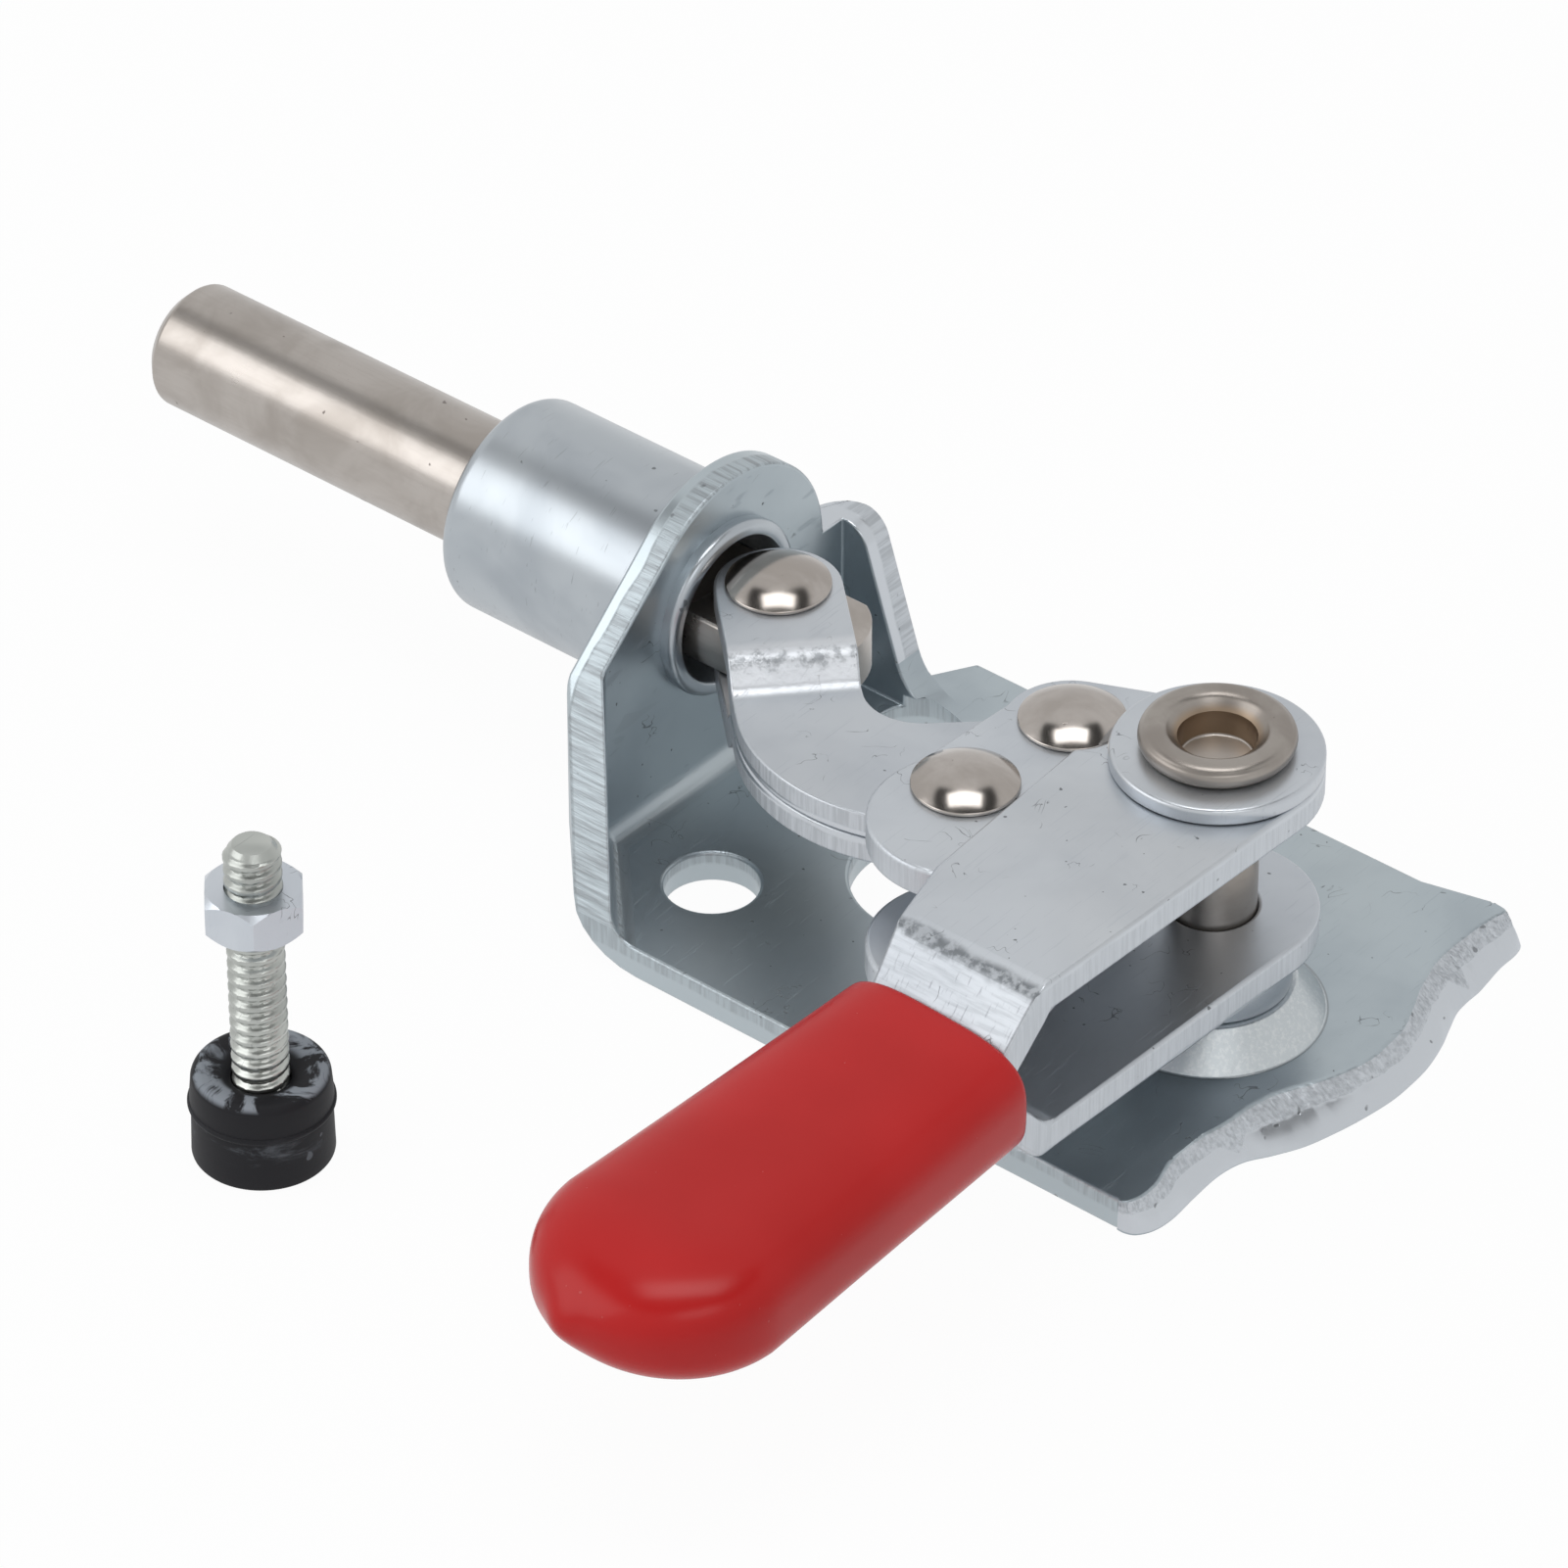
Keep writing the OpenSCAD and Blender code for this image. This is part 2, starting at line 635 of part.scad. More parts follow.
module link_spacer_lower() color("silver") from_pivot() below_axis() link_spacer();

module pivot_pin() color("rosybrown") from_pivot() difference() {
    tail_h = 1.6;
    edge_r = roll_h / 2;
    flare = 0.75;
    union() {
        translate([0, 0, boss_h - tail_h]) cylinder(h = tail_h, r = boss_top_r - 1.2 - pass_gap);
        translate([0, 0, boss_h - tail_h]) cylinder(h = roll_z + edge_r - boss_h + tail_h, r = pin_r);
        translate([0, 0, roll_z]) cylinder(h = roll_h, r = roll_d / 2 - edge_r);
        translate([0, 0, roll_z + edge_r]) rotate_extrude() translate([roll_d / 2 - edge_r, 0])
            circle(edge_r);
    }
    translate([0, 0, roll_z - pin_hole_deep]) cylinder(h = far, d = pin_hole_d);
    translate([0, 0, roll_z + 0.2])
        cylinder(h = roll_h, r1 = pin_hole_d / 2, r2 = pin_hole_d / 2 + flare * roll_h / (roll_h - 0.2));
}

module pivot_washer() color("silver")
    from_pivot() tube([0, 0], washer_z, roll_z, washer_d, pin_d + 2 * play);

module pivot_spacer() color("silver")
    from_pivot() tube([0, 0], boss_top, lower_z - face_play, spacer_d, pin_d + 2 * play);

module spindle_stud() color("silver") from_pivot() {
    lead = 0.14 * stud_d;
    translate([spindle_x, spindle_y, foot_h - stud_in]) {
        cylinder(h = stud_top - foot_h + stud_in - lead, d = stud_d);
        translate([0, 0, stud_top - foot_h + stud_in - lead])
            cylinder(h = lead, d1 = stud_d, d2 = stud_d - 2 * lead);
    }
}

module spindle_nut() color("silver") from_pivot()
    translate([spindle_x, spindle_y, nut_z]) difference() {
    corner_d = nut_s / cos(30);
    intersection() {
        rotate([0, 0, 12]) cylinder(h = nut_h, d = corner_d, $fn = 6);
        cylinder(h = nut_h, d1 = nut_s + 2 * nut_h, d2 = nut_s);
        cylinder(h = nut_h, d1 = nut_s, d2 = nut_s + 2 * nut_h);
    }
    translate([0, 0, -1]) cylinder(h = nut_h + 2, d = stud_d + play);
}

module spindle_foot() color("dimgray") from_pivot() translate([spindle_x, spindle_y, 0]) difference() {
    edge = 1;
    bead_z = 0.6 * foot_h;
    union() {
        cylinder(h = foot_h - edge, d = foot_d - 0.4);
        translate([0, 0, foot_h - edge]) cylinder(h = edge, d1 = foot_d - 0.4, d2 = foot_d - 2.4);
        translate([0, 0, bead_z - 0.3]) cylinder(h = 0.6, d = foot_d);
    }
    translate([0, 0, foot_h - stud_in]) cylinder(h = foot_h, d = stud_d + play);
}

base_plate();
guide_bushing();
plunger();
handle_upper_plate();
handle_lower_plate();
handle_grip();
link_upper_plate();
link_lower_plate();
plunger_rivet_upper();
plunger_rivet_lower();
link_rivet();
link_spacer_upper();
link_spacer_lower();
stop_rivet();
pivot_pin();
pivot_washer();
pivot_spacer();
spindle_stud();
spindle_nut();
spindle_foot();
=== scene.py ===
import json
import math

import bmesh
import bpy
import numpy as np
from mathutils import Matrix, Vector

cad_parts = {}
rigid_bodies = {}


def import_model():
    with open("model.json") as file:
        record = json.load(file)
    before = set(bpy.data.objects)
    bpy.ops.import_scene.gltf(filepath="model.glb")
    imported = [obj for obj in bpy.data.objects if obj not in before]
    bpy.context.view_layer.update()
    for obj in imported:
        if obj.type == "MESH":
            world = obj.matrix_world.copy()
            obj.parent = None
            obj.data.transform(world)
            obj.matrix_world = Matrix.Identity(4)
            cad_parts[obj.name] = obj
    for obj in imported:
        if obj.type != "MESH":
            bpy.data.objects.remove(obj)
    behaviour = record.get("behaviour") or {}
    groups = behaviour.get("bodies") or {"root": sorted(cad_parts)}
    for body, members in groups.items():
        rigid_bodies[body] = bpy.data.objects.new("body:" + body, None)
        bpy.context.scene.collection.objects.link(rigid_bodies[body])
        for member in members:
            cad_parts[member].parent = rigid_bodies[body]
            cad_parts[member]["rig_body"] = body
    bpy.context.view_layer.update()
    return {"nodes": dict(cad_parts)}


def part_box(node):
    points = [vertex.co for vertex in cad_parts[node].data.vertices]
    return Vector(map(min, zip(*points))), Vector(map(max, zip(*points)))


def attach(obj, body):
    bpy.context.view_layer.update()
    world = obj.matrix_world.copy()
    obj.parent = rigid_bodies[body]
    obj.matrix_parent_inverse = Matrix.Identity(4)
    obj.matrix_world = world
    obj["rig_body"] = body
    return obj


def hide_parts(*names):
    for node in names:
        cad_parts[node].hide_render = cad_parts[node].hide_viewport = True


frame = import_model()
mm = 0.001
twoPi = 2 * math.pi
scene = bpy.context.scene
print("frame loaded")


# Places that several pieces share, in metres, as the solids have them
place = {"axisZ": 20.6 * mm, "pivotX": -44.3 * mm, "baseT": 3.2 * mm, "tailX": -44.8 * mm,
         "crank": (-30.633 * mm, 2.533 * mm), "tip": (4.275 * mm, 0.0), "armAngle": math.radians(137),
         "spindle": (8.3 * mm, 64.0 * mm), "lip": 1.5 * mm}
place["stop"] = (place["crank"][0] + 1.3 * mm, place["crank"][1] + 12.95 * mm)
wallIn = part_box("guide_bushing")[0].x + place["lip"]    # inner and outer faces of the front wall
wallOut = wallIn + place["baseT"]


class Wire:              # one socket's output: arithmetic on it adds Math nodes
    def __init__(self, tree, socket):
        self.tree, self.socket = tree, socket

    def maths(self, operation, first, second=None):
        values = {0: first} if second is None else {0: first, 1: second}
        return self.tree.node("ShaderNodeMath", {"operation": operation}, values)

    def __add__(self, other):
        return self.maths("ADD", self, other)

    def __radd__(self, other):
        return self.maths("ADD", other, self)

    def __sub__(self, other):
        return self.maths("SUBTRACT", self, other)

    def __rsub__(self, other):
        return self.maths("SUBTRACT", other, self)

    def __mul__(self, other):
        return self.maths("MULTIPLY", self, other)

    def __rmul__(self, other):
        return self.maths("MULTIPLY", other, self)

    def __truediv__(self, other):
        return self.maths("DIVIDE", self, other)

    def __rtruediv__(self, other):
        return self.maths("DIVIDE", other, self)

    def __pow__(self, other):
        return self.maths("POWER", self, other)

    def __neg__(self):
        return self.maths("MULTIPLY", self, -1.0)

    def most(self, other):
        return self.maths("MAXIMUM", self, other)

    def size(self):
        return self.maths("ABSOLUTE", self)


class Tree:              # a node tree with one way to add a node
    def __init__(self, nodeTree, material=None):
        self.nodeTree, self.material = nodeTree, material
        self.shader = nodeTree.nodes.get("Principled BSDF")

    def put(self, socket, value):
        if isinstance(value, Wire):
            self.nodeTree.links.new(value.socket, socket)
        else:
            socket.default_value = value

    def node(self, kind, settings=None, inputs=None, out=0):
        made = self.nodeTree.nodes.new(kind)
        for key, value in (settings or {}).items():
            setattr(made, key, value)
        for key, value in (inputs or {}).items():
            self.put(made.inputs[key], value)
        return Wire(self, made.outputs[out])

    def where(self, move=(0, 0, 0), turn=(0, 0, 0), grow=(1, 1, 1)):
        base = self.node("ShaderNodeTexCoord", out=3)
        return self.node("ShaderNodeMapping", {"vector_type": "POINT"},
                         {"Vector": base, "Location": move, "Rotation": turn, "Scale": grow})

    def part(self, vector, axis):
        return self.node("ShaderNodeSeparateXYZ", None, {0: vector}, "xyz".index(axis))

    def rays(self):                              # what kind of ray arrives, for the stage and the world
        return [self.node("ShaderNodeLightPath", out="Is " + kind + " Ray")
                for kind in ("Camera", "Glossy", "Transmission")]

    def noise(self, vector, scale, detail, rough=0.5, warp=0.0):
        return self.node("ShaderNodeTexNoise", {"noise_dimensions": "3D"},
                         {"Vector": vector, "Scale": scale, "Detail": detail, "Roughness": rough,
                          "Distortion": warp})

    def ramp(self, value, low, high):            # 0 below low, 1 above high, smooth between
        return self.node("ShaderNodeMapRange", {"interpolation_type": "SMOOTHSTEP"},
                         {0: value, 1: low, 2: high, 3: 0.0, 4: 1.0})

    def band(self, value, low, high, soft):      # 1 between low and high, soft at both ends
        return self.ramp(value, low - soft, low + soft) * (1 - self.ramp(value, high - soft, high + soft))

    def mix(self, factor, first, second):        # of two colours
        return self.node("ShaderNodeMix", {"data_type": "RGBA"}, {0: factor, 6: first, 7: second}, 2)

    def vectors(self, operation, first, second, out=0):
        return self.node("ShaderNodeVectorMath", {"operation": operation}, {0: first, 1: second}, out)

    def fromAxis(self, x, y):                    # distance from the upright axis through (x, y)
        flat = self.vectors("MULTIPLY", self.vectors("SUBTRACT", self.where(), (x, y, 0)), (1, 1, 0))
        return self.node("ShaderNodeVectorMath", {"operation": "LENGTH"}, {0: flat}, 1)

    def dashes(self, turn, scale, move, level, thin=26.0):   # short fine lines that all run one way
        stretched = self.where(move, (0, 0, turn), (scale * thin, scale, scale * 4))
        return self.ramp(self.noise(stretched, 1.0, 1.0, 0.4, 0.35), level, level + 0.035)


def paint(name, metallic, ior=1.5, specular=0.5):
    made = bpy.data.materials.new(name)
    made.use_nodes = True
    tree = Tree(made.node_tree, made)
    tree.shader.inputs["Metallic"].default_value = metallic
    tree.shader.inputs["IOR"].default_value = ior
    tree.shader.inputs["Specular IOR Level"].default_value = specular
    return tree


def finishSurface(tree, colour, rough, height, strength, distance):
    tree.put(tree.shader.inputs["Base Color"], colour)
    tree.put(tree.shader.inputs["Roughness"], rough)
    bump = tree.node("ShaderNodeBump", None, {"Strength": strength, "Distance": distance, "Height": height})
    tree.put(tree.shader.inputs["Normal"], bump)
    return tree.material


# Zinc plate as rolled sheet: cloudy blue grey, short scratches every way, dark pits and hairs
zincLook = {"light": (0.63, 0.665, 0.705, 1), "dull": (0.53, 0.565, 0.61, 1), "warm": (0.62, 0.64, 0.655, 1),
            "mark": (0.16, 0.17, 0.18, 1), "torn": (0.30, 0.325, 0.345, 1), "rough": 0.30, "grain": 0.10,
            "metallic": 0.93}


def toned(share, tint=(1, 1, 1), **changes):       # the same zinc, its three tones scaled and tinted
    tones = {}
    for key in ("light", "dull", "warm"):
        tones[key] = tuple(c * share * t for c, t in zip(zincLook[key], tint)) + (1,)
    return dict(zincLook, **tones, **changes)


def zincSheet(name, look, extra=None):
    tree = paint(name, look["metallic"])
    spot = tree.where()
    cloud = tree.noise(spot, 55.0, 4.0, 0.55, 0.4)
    fine = tree.noise(spot, 1500.0, 3.0, 0.6)
    tint = tree.noise(tree.where((0.31, 0.12, 0.2)), 24.0, 2.0, 0.5)
    colour = tree.mix(tree.ramp(cloud, 0.35, 0.68), look["light"], look["dull"])
    colour = tree.mix(tree.ramp(tint, 0.52, 0.75) * 0.55, colour, look["warm"])
    scratch = tree.dashes(0.4, 190.0, (0.1, 0, 0), 0.70).most(tree.dashes(1.9, 230.0, (0, 0.2, 0), 0.715))
    scratch = scratch.most(tree.dashes(2.7, 150.0, (0.3, 0.1, 0), 0.72, 40.0))
    pits = tree.ramp(tree.noise(tree.where((0.7, 0.3, 0.1)), 1500.0, 1.0, 0.3), 0.79, 0.82)
    hairs = tree.noise(tree.where((0.2, 0.5, 0.9)), 260.0, 2.0, 0.5, 1.2)
    hairLine = 1 - tree.ramp((hairs - 0.5).size(), 0.002, 0.008)
    hairLine = hairLine * tree.ramp(tree.noise(tree.where((0.9, 0.1, 0.4)), 230.0, 1.0), 0.61, 0.66)
    dark = (pits * 0.85).most(hairLine * 0.75)
    colour = tree.mix(scratch * 0.35, colour, look["dull"])
    colour = tree.mix(dark, colour, look["mark"])
    rough = look["rough"] + cloud * 0.10 + scratch * 0.12 + dark * 0.2
    height = fine * look["grain"] + cloud * 0.25 - scratch * 0.25 - dark * 0.5
    if extra:
        colour, rough, height = extra(tree, colour, rough, height)
    return finishSurface(tree, colour, rough, height, 0.45, 0.04 * mm)


# Sheared edge of the sheet. Across is the axis through its thickness, from low, where the smooth band
# is, to high, where the metal tore; the tear starts at the share start of the way.
def shearedEdge(name, across, low, high, bite=0.5, start=0.34, look=zincLook):
    tree = paint(name, look["metallic"])
    squeeze = tuple(140.0 if axis == across else 2600.0 for axis in "xyz")
    coarse = tuple(60.0 if axis == across else 620.0 for axis in "xyz")
    lines = tree.noise(tree.where(grow=squeeze), 1.0, 3.0, 0.65)
    ridges = tree.noise(tree.where((3.1, 0.7, 1.9), grow=coarse), 1.0, 2.0, 0.6, 0.5)
    depth = (tree.part(tree.where(), across) - low) / (high - low)
    wander = tree.noise(tree.where(), 160.0, 2.0) * 0.3 - 0.15
    torn = tree.ramp(depth + wander, start, start + 0.12)
    colour = tree.mix(tree.ramp(lines, 0.38, 0.66) * torn * bite, look["light"], look["torn"])
    speck = tree.ramp(tree.noise(tree.where((0.4, 0.8, 0.1)), 800.0, 1.0), 0.74, 0.79)
    colour = tree.mix(speck * 0.7, colour, look["mark"])
    rough = 0.26 + torn * 0.16 + ridges * 0.05
    height = (lines * 0.9 + ridges * 1.1) * (0.12 + torn * 0.88) - speck * 0.3
    return finishSurface(tree, colour, rough, height, 0.25 + 0.45 * bite, 0.12 * mm)


# Turned zinc: fine lines round the x axis, cloudy, with few specks
def zincTurned(name, look):
    tree = paint(name, look["metallic"])
    rings = tree.noise(tree.where(grow=(5200.0, 90.0, 90.0)), 1.0, 2.0, 0.6)
    cloud = tree.noise(tree.where((0.2, 0.1, 0.7)), 90.0, 3.0, 0.55, 0.6)
    pits = tree.ramp(tree.noise(tree.where((0.1, 0.6, 0.3)), 800.0, 1.0), 0.765, 0.80)
    scratch = tree.dashes(1.2, 200.0, (0.5, 0.1, 0), 0.72)
    colour = tree.mix(tree.ramp(cloud, 0.35, 0.7), look["light"], look["dull"])
    colour = tree.mix((pits * 0.8).most(scratch * 0.3), colour, look["mark"])
    rough = 0.25 + cloud * 0.1 + pits * 0.2
    height = rings * 0.5 + cloud * 0.3 - pits * 0.6 - scratch * 0.2
    return finishSurface(tree, colour, rough, height, 0.35, 0.03 * mm)


# Warm grey nickel. Squeeze is how fine its drawing or turning lines are along x, y and z
nickelLook = {"light": (0.50, 0.465, 0.435, 1), "dull": (0.40, 0.365, 0.335, 1),
              "bronze": (0.36, 0.27, 0.19, 1), "floor": (0.66, 0.63, 0.60, 1), "pit": (0.12, 0.10, 0.09, 1)}


def nickel(name, squeeze, rough, grain, look=nickelLook, extra=None):
    tree = paint(name, 1.0)
    lines = tree.noise(tree.where(grow=squeeze), 1.0, 3.0, 0.6)
    cloud = tree.noise(tree.where((0.4, 0.2, 0.6)), 120.0, 4.0, 0.6, 0.5)
    pits = tree.ramp(tree.noise(tree.where((0.8, 0.2, 0.5)), 1000.0, 1.0), 0.77, 0.81)
    colour = tree.mix(tree.ramp(cloud, 0.36, 0.68), look["light"], look["dull"])
    colour = tree.mix(tree.ramp(lines, 0.45, 0.7) * 0.25, colour, look["dull"])
    colour = tree.mix(pits * 0.6, colour, look["pit"])
    surface = rough + cloud * 0.10 + pits * 0.2
    height = lines * grain + cloud * 0.3 - pits * 0.4
    if extra:
        colour, surface, height = extra(tree, colour, surface, height)
    return finishSurface(tree, colour, surface, height, 0.35, 0.03 * mm)


# Satin red vinyl with soft orange peel
vinylLook = {"red": (0.56, 0.016, 0.016, 1), "deep": (0.49, 0.010, 0.009, 1),
             "dust": (0.75, 0.45, 0.42, 1), "rough": 0.22}


def redVinyl(name, look=vinylLook):
    tree = paint(name, 0.0, 1.45, 0.32)
    cloud = tree.noise(tree.where(), 40.0, 3.0, 0.5)
    peel = tree.noise(tree.where((0.3, 0.3, 0.1)), 420.0, 2.0, 0.5)
    dust = tree.ramp(tree.noise(tree.where((0.6, 0.2, 0.4)), 1500.0, 1.0), 0.79, 0.83)
    colour = tree.mix(tree.ramp(cloud, 0.35, 0.7), look["red"], look["deep"])
    colour = tree.mix(dust * 0.15, colour, look["dust"])
    rough = look["rough"] + cloud * 0.08 + dust * 0.2
    return finishSurface(tree, colour, rough, peel * 0.6 + cloud * 0.4, 0.3, 0.06 * mm)


# Black rubber with pale scuffs on its upper rim and a dusty bead
rubberLook = {"black": (0.007, 0.007, 0.010, 1), "scuff": (0.30, 0.33, 0.37, 1), "rough": 0.52}


def blackRubber(name, low, high, centre, radius, look=rubberLook):
    tree = paint(name, 0.0, 1.5, 0.3)
    spot = tree.where()
    patch = tree.noise(tree.where((0.2, 0.9, 0.3)), 260.0, 5.0, 0.62, 0.9)
    smear = tree.noise(tree.where(grow=(1.0, 1.0, 3.2)), 190.0, 5.0, 0.7, 0.5)
    reach = tree.fromAxis(*centre) / radius
    rise = (tree.part(spot, "z") - low) / (high - low)
    rim = tree.ramp(rise, 0.93, 0.985) * tree.ramp(reach, 0.45, 0.62)
    top = rim * tree.ramp(patch, 0.47, 0.56)
    dusty = tree.band(rise, 0.36, 0.60, 0.09) * tree.ramp(smear, 0.5, 0.74) * 0.42
    worn = tree.ramp(smear, 0.64, 0.85) * 0.3
    fleck = tree.ramp(tree.noise(spot, 700.0, 1.0), 0.75, 0.80) * 0.4
    mask = top.most(dusty).most(worn).most(fleck)
    colour = tree.mix(mask, look["black"], look["scuff"])
    rough = look["rough"] + mask * 0.2 + smear * 0.08
    grain = tree.noise(spot, 1600.0, 3.0)
    return finishSurface(tree, colour, rough, grain * 0.5 + mask * 0.5 + smear * 0.5, 0.35, 0.05 * mm)


def shadeSmooth(mesh, degrees):          # smooth, with a crease where faces meet more steeply
    mesh.polygons.foreach_set("use_smooth", np.ones(len(mesh.polygons), bool))
    mesh.set_sharp_from_angle(angle=math.radians(degrees))


def closeSeams(mesh):    # joins doubled points, so that poles close, and turns the faces outwards
    work = bmesh.new()
    work.from_mesh(mesh)
    bmesh.ops.remove_doubles(work, verts=work.verts, dist=1e-7)
    bmesh.ops.recalc_face_normals(work, faces=work.faces)
    work.to_mesh(mesh)
    work.free()


def meshFrom(name, points, faces, body, materials):
    made = bpy.data.meshes.new(name)
    made.from_pydata(points.reshape(-1, 3).tolist(), [], faces)
    made.validate()
    for material in materials:
        made.materials.append(material)
    closeSeams(made)
    shadeSmooth(made, 38)
    piece = bpy.data.objects.new(name, made)
    scene.collection.objects.link(piece)
    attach(piece, body)
    return piece


# Quads of a grid of rows by columns, closed round its columns
def ringFaces(rows, columns):
    row, column = np.meshgrid(np.arange(rows - 1), np.arange(columns), indexing="ij")
    nextColumn = (column + 1) % columns
    quads = np.stack([row * columns + column, row * columns + nextColumn,
                      (row + 1) * columns + nextColumn, (row + 1) * columns + column], -1)
    return quads.reshape(-1, 4)


def cappedFaces(points):         # the same for a grid of points, with its first row closed by one face
    rows, columns = points.shape[:2]
    return ringFaces(rows, columns).tolist() + [list(range(columns))]


# A turned piece: each point (r, h) of the profile is carried round the axis, so that it lies at
# r cos a, r sin a and h. End points on the axis close as fans, and a closed profile makes a ring. With
# up = -1 the piece stands on its head.
def turned(name, profile, centre, axis, body, materials, steps=96, up=1):
    profile = np.asarray(profile, float)
    angle = np.linspace(0, twoPi, steps, endpoint=False)
    r, h = profile[:, :1], profile[:, 1:] * np.ones_like(angle)
    u, v = r * np.cos(angle), r * np.sin(angle) * up
    x, y, z = centre
    points = np.stack((x + u, y + v, z + h * up) if axis == "z" else (x + h, y + u, z + v), -1)
    faces = ringFaces(len(profile), steps)
    if np.allclose(profile[0], profile[-1]):
        points, faces = points[:-1], faces % ((len(profile) - 1) * steps)
    return meshFrom(name, points, faces.tolist(), body, materials)


# Arc in a profile about (r, h), from angle a to b in degrees
def bow(r, h, radius, a, b, steps):
    t = np.radians(np.linspace(a, b, steps))
    return [(r + radius * math.cos(s), h + radius * math.sin(s)) for s in t]


# How a node's triangles are read, in degrees: faces this flat to each other are one, faces of the sheet
# that meet more steeply than fold have a bend between them, and an edge beyond cutEdge is rolled over.
# Beside the cut a fold gets nearCut of its distance, and points within nearFold of its width join its end.
edgeLook = {"flat": 0.8, "fold": 22, "cutEdge": 32, "crease": 32, "nearCut": 0.8, "nearFold": 0.9}


def mergedSheet(source, merge, cut, stays):      # the node's triangles as whole faces, with cuts across
    work = bmesh.new()
    work.from_mesh(source.data)
    bmesh.ops.remove_doubles(work, verts=work.verts, dist=3e-6)
    bmesh.ops.dissolve_limit(work, angle_limit=math.radians(edgeLook["flat"]), verts=work.verts,
                             edges=work.edges)
    bmesh.ops.remove_doubles(work, verts=work.verts, dist=merge)
    if cut is not None:
        bmesh.ops.bisect_plane(work, geom=work.verts[:] + work.edges[:] + work.faces[:], dist=1e-6,
                               plane_co=(cut, 0, 0), plane_no=(-1, 0, 0), clear_outer=True)
        bmesh.ops.edgenet_fill(work, edges=[edge for edge in work.edges if edge.is_boundary])
    for spot, facing in stays:
        bmesh.ops.bisect_plane(work, geom=work.verts[:] + work.edges[:] + work.faces[:], dist=1e-5,
                               plane_co=spot, plane_no=facing)
    work.normal_update()
    return work


# Points within reach of the end of a fold join it, so that the wide rounding has room
def joinFoldEnds(work, isFold, reach):
    ends = {vert for edge in work.edges if isFold(edge) for vert in edge.verts}
    target = {}
    for edge in work.edges:
        first, second = edge.verts
        if edge.calc_length() < reach and (first in ends) != (second in ends):
            target[second if first in ends else first] = first if first in ends else second
    if target:
        bmesh.ops.weld_verts(work, targetmap=target)
        work.normal_update()


# The share of the wide rounding that each edge gets: all of it at a fold, less beside the cut, the roll at
# a cut edge, and in each gentle place (spot, reach, most) no more than that place's most
def weighEdges(work, isFold, roll, wide, cut, gentle):
    weight = work.edges.layers.float.new("bevel_weight_edge")
    for edge in work.edges:
        fromCut = [wide] if cut is None else [abs(vert.co.x - cut) for vert in edge.verts]
        if max(fromCut) < 1e-5:
            share = 0.0
        elif isFold(edge):
            share = min(1.0, edgeLook["nearCut"] * min(fromCut) / wide)
        else:
            share = roll / wide if edge.calc_face_angle(0.0) > math.radians(edgeLook["cutEdge"]) else 0.0
        middle = (edge.verts[0].co + edge.verts[1].co) / 2
        for spot, reach, most in gentle:
            if (middle - Vector(spot)).length < reach:
                share = min(share, most / wide)
        edge[weight] = share


# A merged copy of a node's own triangles. Where a cut edge meets the sheet's face it is rolled over a
# little; where face meets face, at a bend, it is rounded by the wider fold. The sorter gives each face its
# material, stays are extra cuts (point, facing) that hold the roll, and joined is a strip sewn on.
def sheetCopy(node, name, materials, roll, sorter=None, segments=3, fold=None, cut=None, joined=None,
              merge=0.04 * mm, clamp=False, gentle=(), stays=()):
    source = frame["nodes"][node]
    work = mergedSheet(source, merge, cut, stays)
    if sorter:
        normals = np.array([face.normal[:] for face in work.faces])
        centres = np.array([face.calc_center_median()[:] for face in work.faces])
        for face, kind in zip(work.faces, sorter(normals, centres)):
            face.material_index = int(kind)
    wide = fold or roll

    def isFold(edge):
        plain = sorter and all(face.material_index == 0 for face in edge.link_faces)
        return plain and edge.calc_face_angle(0.0) > math.radians(edgeLook["fold"])

    if fold and cut is None:
        joinFoldEnds(work, isFold, edgeLook["nearFold"] * wide)
    weighEdges(work, isFold, roll, wide, cut, gentle)
    if joined:
        strip = bpy.data.meshes.new("strip")
        strip.from_pydata(joined[0].reshape(-1, 3).tolist(), [], joined[1])
        strip.polygons.foreach_set("material_index", np.asarray(joined[2], int))
        work.from_mesh(strip)
        bpy.data.meshes.remove(strip)
    made = bpy.data.meshes.new(name)
    work.to_mesh(made)
    work.free()
    for material in materials:
        made.materials.append(material)
    shadeSmooth(made, edgeLook["crease"])
    piece = bpy.data.objects.new(name, made)
    scene.collection.objects.link(piece)
    rolled = piece.modifiers.new("rolledEdges", "BEVEL")
    rolled.width, rolled.segments, rolled.limit_method = wide, segments, "WEIGHT"
    rolled.use_clamp_overlap, rolled.loop_slide = clamp, False
    level = piece.modifiers.new("evenNormals", "WEIGHTED_NORMAL")
    level.keep_sharp = True
    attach(piece, source["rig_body"])
    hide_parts(node)
    return piece


# Base plate: faces across the sheet's thickness get the sheared finish. The floor's reach up to floorTop,
# the wall's start at wallFrom (x, z), and the gusset's lie beyond gussetIn, up from gussetFrom.
baseLook = {"roll": 0.32 * mm, "fold": 0.45 * mm, "merge": 0.3 * mm, "cut": -54.75 * mm, "floorTop": 3.3 * mm,
            "wallFrom": (5.0 * mm, 3.5 * mm), "gussetIn": -15.0 * mm, "gussetFrom": 9.0 * mm,
            "gussetOut": 13.5 * mm}
